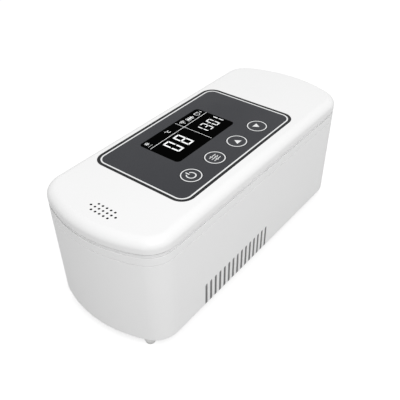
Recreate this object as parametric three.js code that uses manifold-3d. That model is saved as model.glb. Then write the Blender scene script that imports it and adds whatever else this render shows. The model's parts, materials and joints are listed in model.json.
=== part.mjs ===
// Portable cooling case for insulin pens: a white moulded tub with side vents, a top frame, and a
// hinged lid that carries a display panel with four keys. Inside are an insulated aluminium chamber
// and, below it, a thermoelectric cooler with its heat sink and fan, two cells and a control board.
// Millimetres. X runs along the case, -Y is the side that faces the user, +Z is up, and the origin
// lies on the table under the middle of the case.

import * as THREE from "three";
import { mergeVertices } from "three/addons/utils/BufferGeometryUtils.js";
import Module from "manifold-3d";

const wasm = await Module();
wasm.setup();

// Case outline seen from above: straight long sides, wide arcs at the ends, round corners
const caseLength = 212;
const caseWidth = 87;
const endArcRadius = 82.1;
const cornerRadius = 16.6;

// Height of the whole case, and of what lies above and below the lower shell
const caseHeight = 80.8;
const footHeight = 5;
const bandHeight = 5.5;
const grooveHeight = 2.4;
const lidHeight = 8.4;

// Clearances
const seatGap = 0.3;
const slideGap = 0.25;
const overrun = 1;

// Lower shell
const shellHeight = caseHeight - footHeight - bandHeight - grooveHeight - lidHeight;
const shellWall = 2.2;
const floorThickness = 2.2;
const shellDraft = 0.5;
const shellEdgeRound = 0.6;
const ventCount = 15;
const ventPitch = 4.6;
const ventWidth = 2.1;
const ventRise = 17.6;
const ventMiddleShare = -0.1193;
const grilleMargin = 1.1;
const grilleSlotWidth = 2.6;
const grilleSlotPitch = 4.8;
const ribThickness = 1.6;
const ribReach = 3;
const sideRibPitch = 20;
const sideRibCount = 4;
const endRibY = 12;

// Feet and the screws that hold the case together
const footTopRadius = 3.8;
const footPadRadius = 2.6;
const footTaperShare = 0.6;
const footInset = 4;
const footAngleShare = 0.92;
const footPegRadius = 1.6;
const screwBack = 2;
const screwSide = 11;
const screwHeadRadius = 2.8;
const screwHeadHeight = 1.8;
const screwShankRadius = 1.2;
const screwLength = 9;
const screwRecess = 4;
const floorBossRadius = 4.6;
const floorBossHeight = 6;
const longBossRadius = 3.2;
const screwBoreDepth = 11;

// Top frame
const landInset = 1.5;
const bandChamfer = 0.6;
const deckThickness = 2.2;
const collarHeight = 4.2;
const collarWall = 1.5;
const gasketLand = 4;
const gasketRecess = 1.5;
const linerDrop = 0.4;

// Cold chamber
const chamberEndRoom = 19;
const chamberSideRoom = 17.5;
const chamberCorner = 8;
const chamberWall = 1.2;
const chamberFloor = 1.5;
const chamberFlange = 2.4;
const insulationWallGap = 0.3;

// Pen tray
const trayHeight = 12;
const traySideGap = 0.5;
const penRadius = 9.2;
const penAxisRise = 1;
const fingerScoopLength = 30;
const fingerScoopDepth = 8;

// Hinge
const hingeInset = 2.6;
const hingeDrop = 3.2;
const barrelRadius = 2.4;
const pinRadius = 0.9;
const hingeEndRoom = 51;
const lidKnuckleLength = 12;
const frameKnuckleLength = 7;
const hingePocketWall = 1.2;
const hingePocketRoom = 0.8;

// Magnets that keep the lid shut
const magnetRadius = 3.5;
const magnetHeight = 2.6;
const magnetEndRoom = 36;
const magnetSideRoom = 7.5;
const magnetCupWall = 1;

// Cooler: thermoelectric tile, heat sink and fan
const tileSize = 40;
const tileThickness = 3.6;
const tileWindowGap = 0.4;
const sinkSize = 50;
const sinkBaseThickness = 3;
const sinkFinHeight = 10;
const sinkFinThickness = 1.1;
const sinkFinCount = 13;
const fanSize = 50;
const fanHeight = 10;
const fanCorner = 4;
const fanTopGap = 0.5;
const fanBoreRadius = 23.8;
const fanHolePitch = 40;
const fanHoleRadius = 2.05;
const fanPegRadius = 1.7;
const fanPegHeight = 4;
const hubPlateRadius = 10.5;
const hubPlateThickness = 1.2;
const hubArmWidth = 3;
const bearingOuterRadius = 1.9;
const bearingBoreRadius = 1.1;
const bearingHeight = 5.4;
const bearingTubeWall = 1.1;
const rotorHubRadius = 11;
const rotorHubWall = 1.2;
const rotorHubHeight = 7.4;
const shaftRadius = 0.85;
const bladeCount = 7;
const bladeTipRadius = 22.8;
const bladeThickness = 1.2;
const bladeChord = 11;
const bladeHeight = 6.4;
const bladeRootSweepShare = 0;
const bladeTipSweepShare = 0.35;

// Battery
const cellRadius = 9.2;
const cellLength = 65;
const cellButtonRadius = 3.2;
const cellButtonHeight = 0.8;
const cellEdgeRound = 0.7;
const cellSpacing = 20.4;
const holderLength = 73;
const holderWidth = 43;
const holderHeight = 12;
const holderFloor = 1.4;
const holderEndWall = 2.5;
const layoutGap = 3;

// Control board and the supply inlet
const boardThickness = 1.6;
const boardLength = 28;
const boardSideRoom = 16.5;
const boardCorner = 2;
const standoffHeight = 3;
const standoffRadius = 2.2;
const standoffInset = 4;
const inletWidth = 10;
const inletDepth = 9;
const inletHeight = 11;
const inletNoseRadius = 3.9;
const inletBoreRadius = 2.8;
const inletBoreDepth = 9;
const inletPinRadius = 0.9;
const capacitorRadius = 4;
const capacitorHeight = 12;
const capacitorSpacing = 11;
const coilSize = 10;
const coilHeight = 5;
const coilCorner = 2.5;
const plugWidth = 7;
const plugLength = 12;
const plugHeight = 6;

// Temperature sensor under the chamber
const sensorRadius = 1.5;
const sensorLength = 9;
const sensorTileGap = 12;

// Lid cover
const lidWall = 2.2;
const lidTopWall = 2.6;
const lidEdgeReach = 5.5;
const lidEdgeDrop = 5.2;
const lidLowerEdge = 0.5;
const lidInnerReach = 4.2;
const lidInnerRise = 3;

// Panel on the lid, with its display and keys
const panelLength = 114.7;
const panelSideMargin = 8.55;
const panelCorner = 8.3;
const panelThickness = 0.9;
const panelMiddleShare = -0.02665;
const panelY = 1.35;
const windowLength = 56.5;
const windowCorner = 2.5;
const windowTopMargin = 11.4;
const windowKeyGap = 7.2;
const windowShift = -0.5;
const windowLedge = 2.4;
const displayThickness = 4.2;
const keyCount = 4;
const keyRadius = 6.6;
const keyPitch = 22.34;
const keyShift = -0.54;
const keyMargin = 14;
const keyFlangeRadius = 7.8;
const keyFlangeThickness = 0.8;

// Display board inside the lid
const displayBoardThickness = 1.2;
const displayBoardLength = 104;
const displayBoardMargin = 4.95;
const displayBoardCorner = 4;
const displayBoardPegRadius = 1.6;
const displayBoardPegInset = 4;
const switchSize = 6;
const switchHeight = 0.8;
const switchCorner = 0.6;
const plungerRadius = 1.5;
const plungerHeight = 0.3;

// Sounder under the holes at the near end of the lid
const soundHoleRadius = 0.55;
const soundHoleEndRoom = 14.1;
const soundHoleY = -2.9;
const soundRowPitch = 2.85;
const soundHolePitch = 3;
const soundLongRow = 7;
const soundShortRow = 5;
const sounderRadius = 9.2;
const sounderHeight = 2.4;
const sounderRingWall = 1;
const sounderRingHeight = 2;
const sounderPortRadius = 1.6;

// Lid liner, its plug and seal
const linerThickness = 1.6;
const plugDepth = 8;
const plugGap = 0.8;
const plugWall = 1.6;
const gasketWidth = 2.6;
const gasketHeight = 1.2;

// Faces on round shapes
const cornerSteps = 5;
const endSteps = 6;
const edgeSteps = 4;
const smallCornerSteps = 4;
const slotCornerSteps = 2;
const rodSides = 16;
const footSides = 12;
const pegSides = 8;
const holeSides = 6;
const mergeDistance = 1e-4;

// Finishes
const finish = (color, roughness, metalness = 0) =>
  new THREE.MeshStandardMaterial({ color, roughness, metalness });
const whitePlastic = finish(0xf4f4f3, 0.35);
const innerPlastic = finish(0xe9e9e7, 0.5);
const panelFilm = finish(0x47484c, 0.45);
const windowGlass = finish(0x030401, 0.1);
const blackPlastic = finish(0x1d1d1f, 0.55);
const greyRubber = finish(0xb9b9b7, 0.8);
const whiteFoam = finish(0xf1efe8, 0.9);
const darkFoam = finish(0x3a3b3d, 0.95);
const aluminium = finish(0xc9ccd0, 0.35, 0.9);
const steel = finish(0xb4b6ba, 0.3, 0.95);
const boardGreen = finish(0x1f5b3a, 0.5);
const ceramicWhite = finish(0xeceae4, 0.6);
const cellWrap = finish(0x2f5d9e, 0.4);
const brass = finish(0xb89a52, 0.4, 0.8);

// Joins and cuts

// A closed geometry as a solid that can be joined and cut
function solidOf(geometry) {
  const bare = geometry.clone();
  bare.deleteAttribute("normal");
  bare.deleteAttribute("uv");
  const merged = mergeVertices(bare, mergeDistance);
  return new wasm.Manifold(
    new wasm.Mesh({
      numProp: 3,
      vertProperties: merged.attributes.position.array,
      triVerts: new Uint32Array(merged.index.array),
    }),
  );
}

// The surface of a solid, ready for a mesh
function surfaceOf(solid) {
  const mesh = solid.getMesh();
  const geometry = new THREE.BufferGeometry();
  geometry.setAttribute("position", new THREE.BufferAttribute(mesh.vertProperties, 3));
  geometry.setIndex(new THREE.BufferAttribute(mesh.triVerts, 1));
  geometry.computeVertexNormals();
  return geometry;
}

const join = (...solids) => solids.reduce((whole, next) => whole.add(next));
const cut = (base, ...tools) => tools.reduce((rest, tool) => rest.subtract(tool), base);

function piece(name, solid, material, x = 0, y = 0, z = 0) {
  const mesh = new THREE.Mesh(surfaceOf(solid), material);
  mesh.name = name;
  mesh.position.set(x, y, z);
  return mesh;
}

// Outlines and simple forms

function arc(x, y, radius, from, to, steps) {
  const points = [];
  for (let i = 0; i <= steps; i++) {
    const angle = from + ((to - from) * i) / steps;
    points.push(new THREE.Vector2(x + radius * Math.cos(angle), y + radius * Math.sin(angle)));
  }
  return points;
}

// The case outline pulled in by an inset: two corners and an end arc, and the same again turned
const endCentreX = caseLength / 2 - endArcRadius;
const cornerCentreY = caseWidth / 2 - cornerRadius;
const cornerCentreX =
  endCentreX + Math.sqrt((endArcRadius - cornerRadius) ** 2 - cornerCentreY ** 2);
const endAngle = Math.atan2(cornerCentreY, cornerCentreX - endCentreX);

function casePlan(inset) {
  const quarter = Math.PI / 2;
  const radius = cornerRadius - inset;
  const half = [
    ...arc(cornerCentreX, -cornerCentreY, radius, -quarter, -endAngle, cornerSteps),
    ...arc(endCentreX, 0, endArcRadius - inset, -endAngle, endAngle, endSteps).slice(1, -1),
    ...arc(cornerCentreX, cornerCentreY, radius, endAngle, quarter, cornerSteps),
  ];
  return [...half, ...half.map((p) => new THREE.Vector2(-p.x, -p.y))];
}

function roundedRectangle(length, width, radius, x = 0, y = 0, steps = smallCornerSteps) {
  const quarter = Math.PI / 2;
  const reachX = length / 2 - radius;
  const reachY = width / 2 - radius;
  return [
    ...arc(x + reachX, y - reachY, radius, -quarter, 0, steps),
    ...arc(x + reachX, y + reachY, radius, 0, quarter, steps),
    ...arc(x - reachX, y + reachY, radius, quarter, 2 * quarter, steps),
    ...arc(x - reachX, y - reachY, radius, 2 * quarter, 3 * quarter, steps),
  ];
}

// A closed skin through rings of 3-D points, each ring with as many points as the next
function skin(rings) {
  const count = rings[0].length;
  const index = [];
  for (let low = 0; low + count < rings.length * count; low += count) {
    for (let i = 0; i < count; i++) {
      const next = (i + 1) % count;
      index.push(low + i, low + next, low + count + next);
      index.push(low + i, low + count + next, low + count + i);
    }
  }
  const last = (rings.length - 1) * count;
  for (let i = 1; i + 1 < count; i++) {
    index.push(0, i + 1, i);
    index.push(last, last + i, last + i + 1);
  }
  const geometry = new THREE.BufferGeometry().setFromPoints(rings.flat());
  geometry.setIndex(index);
  return solidOf(geometry);
}

// A case-shaped form through levels of [inset, height], lowest first
function caseForm(levels) {
  return skin(
    levels.map(([inset, z]) => casePlan(inset).map((p) => new THREE.Vector3(p.x, p.y, z))),
  );
}

function extruded(points, depth) {
  return new THREE.ExtrudeGeometry(new THREE.Shape(points), { depth, bevelEnabled: false });
}

// An outline in X and Y, from one height to another
function plate(points, bottom, top) {
  return solidOf(extruded(points, top - bottom).translate(0, 0, bottom));
}

// An outline in X and Z, from one Y to another
function crossBar(points, from, to) {
  return solidOf(
    extruded(points, to - from)
      .rotateX(Math.PI / 2)
      .translate(0, to, 0),
  );
}

// A block between two heights, centred on x and y
function block(length, width, bottom, top, x = 0, y = 0) {
  const geometry = new THREE.BoxGeometry(length, width, top - bottom);
  return solidOf(geometry.translate(x, y, (bottom + top) / 2));
}

// An upright rod between two heights
function rod(radius, bottom, top, x = 0, y = 0, sides = rodSides) {
  const geometry = new THREE.CylinderGeometry(radius, radius, top - bottom, sides);
  return solidOf(geometry.rotateX(Math.PI / 2).translate(x, y, (bottom + top) / 2));
}

// A rod along X, centred on x
function rodAlongX(radius, length, x, y, z, sides = rodSides) {
  const geometry = new THREE.CylinderGeometry(radius, radius, length, sides);
  return solidOf(geometry.rotateZ(Math.PI / 2).translate(x, y, z));
}

// A rod along Y between two places
function rodAlongY(radius, from, to, x, z, sides = rodSides) {
  const geometry = new THREE.CylinderGeometry(radius, radius, to - from, sides);
  return solidOf(geometry.translate(x, (from + to) / 2, z));
}

// A turned form: its profile runs up the axis side from [0, low] to [0, high]
function turned(profile, sides = rodSides) {
  const points = profile.map(([radius, z]) => new THREE.Vector2(radius, z));
  return solidOf(new THREE.LatheGeometry(points, sides).rotateX(Math.PI / 2));
}

const corners = [
  [-1, -1],
  [1, -1],
  [1, 1],
  [-1, 1],
];
const cornerNames = ["front_left", "front_right", "rear_right", "rear_left"];

// Heights that several pieces share, above the table: the lid's from the top of the case down, the
// cooler's from the floor up, and the cold box between them
const shellBottom = footHeight;
const frameBottom = shellBottom + shellHeight + seatGap;
const bandTop = shellBottom + shellHeight + bandHeight;
const lidBottom = bandTop + grooveHeight;
const linerBottom = lidBottom - linerDrop;
const landTop = linerBottom - seatGap;
const hingeY = caseWidth / 2 - hingeInset;
const hingeZ = linerBottom - hingeDrop;
const collarBottom = landTop - collarHeight;
const chamberTop = collarBottom - seatGap;
const shellFloor = shellBottom + floorThickness;
const fanBottom = shellFloor + seatGap;
const sinkBottom = fanBottom + fanHeight + fanTopGap;
const tileBottom = sinkBottom + sinkFinHeight + sinkBaseThickness + seatGap;
const coldBoxBottom = tileBottom + tileThickness + seatGap;
const chamberBottom = coldBoxBottom + chamberFloor;
const chamberDepth = chamberTop - chamberBottom;
const insulationBottom = tileBottom;
const insulationTop = frameBottom - 2 * seatGap;

// Places along and across the case
const chamberLength = caseLength - 2 * chamberEndRoom;
const chamberWidth = caseWidth - 2 * chamberSideRoom;
const screwX = cornerCentreX - screwBack;
const screwY = caseWidth / 2 - screwSide;
const hingeStationX = caseLength / 2 - hingeEndRoom;
const magnetX = caseLength / 2 - magnetEndRoom;
const magnetY = magnetSideRoom - caseWidth / 2;
const coolerX = ventMiddleShare * caseLength;
const batteryX = coolerX + sinkSize / 2 + layoutGap + holderLength / 2;
const boardX = coolerX - sinkSize / 2 - layoutGap - boardLength / 2;
const boardWidth = caseWidth - 2 * boardSideRoom;
const inletX = batteryX;
const sensorX = coolerX + tileSize / 2 + sensorTileGap;

// Lower shell

function slotOutline(x, width, bottom, top) {
  const radius = width / 2;
  return [
    new THREE.Vector2(x - radius, bottom),
    new THREE.Vector2(x + radius, bottom),
    ...arc(x, top - radius, radius, 0, Math.PI, slotCornerSteps),
  ];
}

// Inset of the outside of the shell at a height above its underside
const draftAt = (height) => shellDraft * (1 - height / shellHeight);

function shellVents() {
  const depth = shellWall + shellDraft + slideGap;
  const half = caseWidth / 2;
  const slots = [];
  for (let i = 0; i < ventCount; i++) {
    const x = coolerX + (i - (ventCount - 1) / 2) * ventPitch;
    const outline = slotOutline(x, ventWidth, -overrun, ventRise);
    slots.push(crossBar(outline, -half - overrun, -half + depth));
    slots.push(crossBar(outline, half - depth, half + overrun));
  }
  return slots;
}

function fanGrille() {
  const grilleRadius = fanBoreRadius - grilleMargin;
  const count = 2 * Math.floor(grilleRadius / grilleSlotPitch) + 1;
  const slots = [];
  for (let i = 0; i < count; i++) {
    const y = (i - (count - 1) / 2) * grilleSlotPitch;
    const length = 2 * Math.sqrt(grilleRadius ** 2 - y ** 2);
    const radius = grilleSlotWidth / 2;
    const outline = roundedRectangle(
      length,
      grilleSlotWidth,
      radius,
      coolerX,
      y,
      slotCornerSteps,
    );
    slots.push(plate(outline, -overrun, floorThickness + overrun));
  }
  return slots;
}

// Ribs on the walls, on which the insulation rests
function shellRibs() {
  const top = insulationBottom - seatGap - shellBottom;
  const length = 2 * (shellWall + ribReach);
  const ribs = [];
  for (let i = 0; i < sideRibCount; i++) {
    for (const side of [-1, 1]) {
      const x = batteryX + (i - (sideRibCount - 1) / 2) * sideRibPitch;
      ribs.push(block(ribThickness, length, 0, top, x, (side * caseWidth) / 2));
    }
  }
  for (const [sideX, sideY] of corners) {
    ribs.push(block(length, ribThickness, 0, top, (sideX * caseLength) / 2, sideY * endRibY));
  }
  return ribs;
}

const footReach = cornerRadius - shellDraft - footInset;
const footX = cornerCentreX + footReach * Math.cos(footAngleShare * endAngle);
const footY = cornerCentreY + footReach * Math.sin(footAngleShare * endAngle);
const inletZ = shellFloor + standoffHeight + seatGap + inletHeight / 2;

function lowerShell() {
  const outside = caseForm([
    [draftAt(0) + shellEdgeRound, 0],
    [draftAt(0) + shellEdgeRound * (1 - Math.SQRT1_2), shellEdgeRound * (1 - Math.SQRT1_2)],
    [draftAt(shellEdgeRound), shellEdgeRound],
    [0, shellHeight],
  ]);
  const inside = caseForm([
    [draftAt(floorThickness) + shellWall, floorThickness],
    [draftAt(shellHeight + overrun) + shellWall, shellHeight + overrun],
  ]);
  const ribs = shellRibs().map((rib) => rib.intersect(outside));
  const bosses = corners.map(([sideX, sideY]) =>
    rod(floorBossRadius, floorThickness / 2, floorBossHeight, sideX * screwX, sideY * screwY),
  );
  const fanPegs = corners.map(([sideX, sideY]) => {
    const x = coolerX + (sideX * fanHolePitch) / 2;
    const y = (sideY * fanHolePitch) / 2;
    return rod(fanPegRadius, floorThickness / 2, floorThickness + fanPegHeight, x, y, pegSides);
  });
  const standoffs = corners.map(([sideX, sideY]) => {
    const x = boardX + sideX * (boardLength / 2 - standoffInset);
    const y = sideY * (boardWidth / 2 - standoffInset);
    const top = floorThickness + standoffHeight;
    return rod(standoffRadius, floorThickness / 2, top, x, y, pegSides);
  });
  const inletShelf = block(
    inletWidth,
    inletDepth + shellWall,
    floorThickness / 2,
    floorThickness + standoffHeight,
    inletX,
    caseWidth / 2 - shellDraft - shellWall / 2 - seatGap - inletDepth / 2,
  ).intersect(outside);
  const screwHoles = corners.flatMap(([sideX, sideY]) => [
    rod(screwHeadRadius + seatGap, -overrun, screwRecess, sideX * screwX, sideY * screwY),
    rod(
      screwShankRadius + slideGap,
      0,
      floorBossHeight + overrun,
      sideX * screwX,
      sideY * screwY,
      pegSides,
    ),
  ]);
  const footHoles = corners.map(([sideX, sideY]) =>
    rod(
      footPegRadius + slideGap,
      -overrun,
      floorThickness + overrun,
      sideX * footX,
      sideY * footY,
      pegSides,
    ),
  );
  const inletHole = rodAlongY(
    inletNoseRadius + seatGap,
    caseWidth / 2 - shellWall - shellDraft - overrun,
    caseWidth / 2 + overrun,
    inletX,
    inletZ - shellBottom,
  );
  return cut(
    join(cut(outside, inside), ...ribs, ...bosses, ...fanPegs, ...standoffs, inletShelf),
    ...shellVents(),
    ...fanGrille(),
    ...screwHoles,
    ...footHoles,
    inletHole,
  );
}

// Foot: a cone below, a plain collar above, and a peg that pushes up through the floor
function foot() {
  const edge = (footTopRadius - footPadRadius) / 4;
  return turned(
    [
      [0, 0],
      [footPadRadius, 0],
      [footPadRadius + edge, edge / 2],
      [footTopRadius, footTaperShare * footHeight],
      [footTopRadius, footHeight],
      [footPegRadius, footHeight],
      [footPegRadius, footHeight + floorThickness],
      [0, footHeight + floorThickness],
    ],
    footSides,
  );
}

// Screw: a low head below and a plain shank above, with a cross recess left to the finish
function caseScrew() {
  return turned(
    [
      [0, 0],
      [screwHeadRadius - screwHeadHeight / 3, 0],
      [screwHeadRadius, screwHeadHeight / 3],
      [screwHeadRadius, screwHeadHeight],
      [screwShankRadius, screwHeadHeight],
      [screwShankRadius, screwHeadHeight + screwLength],
      [0, screwHeadHeight + screwLength],
    ],
    pegSides,
  );
}

// Top frame: the band under the lid, its deck, the collar round the chamber and the hinge knuckles

const stationHalf = lidKnuckleLength / 2 + seatGap + frameKnuckleLength;

function topFrame() {
  const band = bandTop - frameBottom;
  const land = landTop - frameBottom;
  const deckUnder = land - deckThickness;
  const axisZ = hingeZ - frameBottom;
  const outside = join(
    caseForm([
      [0, 0],
      [0, band - bandChamfer],
      [bandChamfer, band],
    ]),
    caseForm([
      [landInset, 0],
      [landInset, land],
    ]),
  );
  const hollow = caseForm([
    [shellWall, -overrun],
    [shellWall, deckUnder],
  ]);
  const rearRelief = block(
    caseLength,
    caseWidth / 2 - hingeY + overrun,
    band,
    land + overrun,
    0,
    (caseWidth / 2 + hingeY + overrun) / 2,
  );
  const collarReach = 2 * (gasketLand + collarWall);
  const collar = plate(
    roundedRectangle(
      chamberLength + collarReach,
      chamberWidth + collarReach,
      chamberCorner + collarReach / 2,
    ),
    collarBottom - frameBottom,
    land,
  );
  const mouth = plate(
    roundedRectangle(chamberLength, chamberWidth, chamberCorner),
    -overrun,
    land + overrun,
  );
  const gasketSeat = plate(
    roundedRectangle(
      chamberLength + 2 * gasketLand,
      chamberWidth + 2 * gasketLand,
      chamberCorner + gasketLand,
    ),
    land - gasketRecess,
    land + overrun,
  );
  const longBosses = corners.map(([sideX, sideY]) =>
    rod(
      longBossRadius,
      shellBottom + floorBossHeight + seatGap - frameBottom,
      deckUnder + deckThickness / 2,
      sideX * screwX,
      sideY * screwY,
      pegSides,
    ),
  );
  const screwBores = corners.map(([sideX, sideY]) => {
    const foot = shellBottom + floorBossHeight + seatGap - frameBottom;
    return rod(
      screwShankRadius + slideGap,
      foot - overrun,
      foot + screwBoreDepth,
      sideX * screwX,
      sideY * screwY,
      pegSides,
    );
  });
  const magnetCups = [-1, 1].map((side) =>
    cut(
      rod(
        magnetRadius + seatGap + magnetCupWall,
        deckUnder - seatGap - magnetHeight,
        deckUnder + deckThickness / 2,
        side * magnetX,
        magnetY,
      ),
      rod(
        magnetRadius + seatGap,
        deckUnder - seatGap - magnetHeight - overrun,
        deckUnder,
        side * magnetX,
        magnetY,
      ),
    ),
  );
  const pocketBack = hingeY - barrelRadius - seatGap;
  const hingeBlocks = [-1, 1].map((side) =>
    block(
      2 * (stationHalf + hingePocketWall),
      caseWidth / 2 - pocketBack + hingePocketWall,
      0,
      band,
      side * hingeStationX,
      (caseWidth / 2 + pocketBack - hingePocketWall) / 2,
    ).intersect(outside),
  );
  const barrels = [-1, 1].map((side) =>
    rodAlongX(barrelRadius, 2 * stationHalf, side * hingeStationX, hingeY, axisZ),
  );
  const pockets = [-1, 1].map((side) =>
    block(
      lidKnuckleLength + 2 * seatGap,
      caseWidth / 2 - pocketBack + overrun,
      axisZ - barrelRadius - hingePocketRoom,
      land + overrun,
      side * hingeStationX,
      (caseWidth / 2 + pocketBack + overrun) / 2,
    ),
  );
  const bores = [-1, 1].map((side) =>
    rodAlongX(
      pinRadius + slideGap,
      2 * stationHalf,
      side * hingeStationX,
      hingeY,
      axisZ,
      pegSides,
    ),
  );
  const body = cut(
    join(cut(outside, hollow), collar, ...longBosses, ...magnetCups),
    rearRelief,
    mouth,
    gasketSeat,
    ...screwBores,
  );
  return cut(join(body, ...hingeBlocks, ...barrels), ...pockets, ...bores);
}

// Cold box: a drawn aluminium tub with an out-turned rim
function coldBox() {
  const outer = roundedRectangle(
    chamberLength + 2 * chamberWall,
    chamberWidth + 2 * chamberWall,
    chamberCorner + chamberWall,
  );
  const rimReach = 2 * (chamberWall + chamberFlange);
  const rim = roundedRectangle(
    chamberLength + rimReach,
    chamberWidth + rimReach,
    chamberCorner + rimReach / 2,
  );
  const height = chamberDepth + chamberFloor;
  return cut(
    join(plate(outer, 0, height), plate(rim, height - chamberWall, height)),
    plate(
      roundedRectangle(chamberLength, chamberWidth, chamberCorner),
      chamberFloor,
      height + overrun,
    ),
  );
}

// Insulation: foam moulded round the cold box, with a window for the cooling tile
function insulation() {
  const gap = shellWall + insulationWallGap;
  const low = insulationBottom - shellBottom;
  const high = insulationTop - shellBottom;
  const foam = caseForm([
    [gap + draftAt(low), 0],
    [gap + draftAt(high), insulationTop - insulationBottom],
  ]);
  const pocket = plate(
    roundedRectangle(
      chamberLength + 2 * (chamberWall + seatGap),
      chamberWidth + 2 * (chamberWall + seatGap),
      chamberCorner + chamberWall + seatGap,
    ),
    coldBoxBottom - seatGap - insulationBottom,
    insulationTop - insulationBottom + overrun,
  );
  const windowSize = tileSize + 2 * tileWindowGap;
  const window = block(windowSize, windowSize, -overrun, tileThickness + overrun, coolerX, 0);
  const columns = corners.map(([sideX, sideY]) =>
    rod(
      longBossRadius + seatGap,
      -overrun,
      insulationTop - insulationBottom + overrun,
      sideX * screwX,
      sideY * screwY,
      pegSides,
    ),
  );
  const sensorBed = block(
    sensorLength + 2 * seatGap,
    2 * (sensorRadius + seatGap),
    coldBoxBottom - 2 * seatGap - 2 * sensorRadius - insulationBottom,
    coldBoxBottom - insulationBottom,
    sensorX,
  );
  return cut(foam, pocket, window, sensorBed, ...columns);
}

// Pen tray: a foam bed with two round channels and a cross hollow for the fingers
function penTray() {
  const length = chamberLength - 2 * traySideGap;
  const width = chamberWidth - 2 * traySideGap;
  const bed = plate(roundedRectangle(length, width, chamberCorner - traySideGap), 0, trayHeight);
  const channelY = width / 4;
  const channels = [-1, 1].map((side) =>
    rodAlongX(
      penRadius,
      length - 2 * chamberCorner,
      0,
      side * channelY,
      trayHeight + penAxisRise,
    ),
  );
  const scoopRadius = ((fingerScoopLength / 2) ** 2 + fingerScoopDepth ** 2) / fingerScoopDepth / 2;
  const scoopReach = width / 2 - chamberWall;
  const scoopZ = trayHeight - fingerScoopDepth + scoopRadius;
  const scoop = rodAlongY(scoopRadius, -scoopReach, scoopReach, 0, scoopZ, 2 * rodSides);
  return cut(bed, ...channels, scoop);
}

// Cooler

function heatSink() {
  const base = block(sinkSize, sinkSize, sinkFinHeight, sinkFinHeight + sinkBaseThickness);
  const pitch = (sinkSize - sinkFinThickness) / (sinkFinCount - 1);
  const fins = [];
  for (let i = 0; i < sinkFinCount; i++) {
    const x = (i - (sinkFinCount - 1) / 2) * pitch;
    fins.push(block(sinkFinThickness, sinkSize, 0, sinkFinHeight + sinkBaseThickness / 2, x));
  }
  return join(base, ...fins);
}

function fanFrame() {
  const square = plate(roundedRectangle(fanSize, fanSize, fanCorner), 0, fanHeight);
  const ring = cut(
    square,
    rod(fanBoreRadius, -overrun, fanHeight + overrun, 0, 0, 2 * rodSides),
    ...corners.map(([sideX, sideY]) =>
      rod(
        fanHoleRadius,
        -overrun,
        fanHeight + overrun,
        (sideX * fanHolePitch) / 2,
        (sideY * fanHolePitch) / 2,
        pegSides,
      ),
    ),
  );
  const span = 2 * fanBoreRadius + overrun;
  const arms = [
    block(span, hubArmWidth, 0, hubPlateThickness),
    block(hubArmWidth, span, 0, hubPlateThickness),
  ];
  const tubeRadius = bearingOuterRadius + slideGap + bearingTubeWall;
  const tubeTop = hubPlateThickness + bearingHeight;
  return cut(
    join(
      ring,
      ...arms,
      rod(hubPlateRadius, 0, hubPlateThickness),
      rod(tubeRadius, 0, tubeTop),
    ),
    rod(bearingOuterRadius + slideGap, hubPlateThickness / 2, tubeTop + overrun),
  );
}

// The rotor's and the bearing's places above the underside of the fan
const rotorBottom = hubPlateThickness + 2 * seatGap;
const bearingBottom = hubPlateThickness / 2 + seatGap;

function fanBearing() {
  return cut(
    rod(bearingOuterRadius, 0, bearingHeight),
    rod(bearingBoreRadius, -overrun, bearingHeight + overrun, 0, 0, pegSides),
  );
}

// One blade: a thin plate that leans back and sweeps as it runs out from the hub
function fanBlade(turn) {
  const rootRadius = rotorHubRadius - rotorHubWall / 2;
  const stations = 3;
  const rings = [];
  for (let s = 0; s <= stations; s++) {
    const part = s / stations;
    const radius = rootRadius + (bladeTipRadius - rootRadius) * part;
    const sweep = bladeRootSweepShare + (bladeTipSweepShare - bladeRootSweepShare) * part;
    const halfAngle = bladeChord / 2 / radius;
    const ring = [
      [-1, 0, 0],
      [1, 1, 0],
      [1, 1, 1],
      [-1, 0, 1],
    ].map(([end, rise, thick]) => {
      const angle = turn + sweep + end * halfAngle;
      const z = rise * (bladeHeight - bladeThickness) + thick * bladeThickness;
      return new THREE.Vector3(radius * Math.cos(angle), radius * Math.sin(angle), z);
    });
    rings.push(ring);
  }
  return skin(rings);
}

function fanRotor() {
  const cup = cut(
    turned([
      [0, 0],
      [rotorHubRadius, 0],
      [rotorHubRadius, rotorHubHeight - rotorHubWall],
      [rotorHubRadius - rotorHubWall, rotorHubHeight],
      [0, rotorHubHeight],
    ]),
    rod(rotorHubRadius - rotorHubWall, -overrun, rotorHubHeight - rotorHubWall),
  );
  const shaft = rod(
    shaftRadius,
    bearingBottom + seatGap - rotorBottom,
    rotorHubHeight - rotorHubWall / 2,
    0,
    0,
    pegSides,
  );
  const blades = [];
  for (let i = 0; i < bladeCount; i++) {
    blades.push(fanBlade((2 * Math.PI * i) / bladeCount));
  }
  return join(cup, shaft, ...blades);
}

// Battery

function cell() {
  const body = cellLength - cellButtonHeight;
  const side = cellRadius - cellEdgeRound;
  return solidOf(
    new THREE.LatheGeometry(
      [
        [0, 0],
        [side, 0],
        [cellRadius, cellEdgeRound],
        [cellRadius, body - cellEdgeRound],
        [side, body],
        [cellButtonRadius, body],
        [cellButtonRadius, cellLength],
        [0, cellLength],
      ].map(([radius, z]) => new THREE.Vector2(radius, z)),
      rodSides,
    )
      .rotateZ(-Math.PI / 2)
      .translate(-cellLength / 2, 0, 0),
  );
}

const cellRise = holderFloor + seatGap + cellRadius;

function batteryHolder() {
  const tub = block(holderLength, holderWidth, 0, holderHeight);
  const troughs = [-1, 1].map((side) =>
    rodAlongX(
      cellRadius + seatGap,
      holderLength - 2 * holderEndWall,
      0,
      (side * cellSpacing) / 2,
      cellRise,
    ),
  );
  return cut(tub, ...troughs);
}

// Control board with its larger components soldered on

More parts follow.
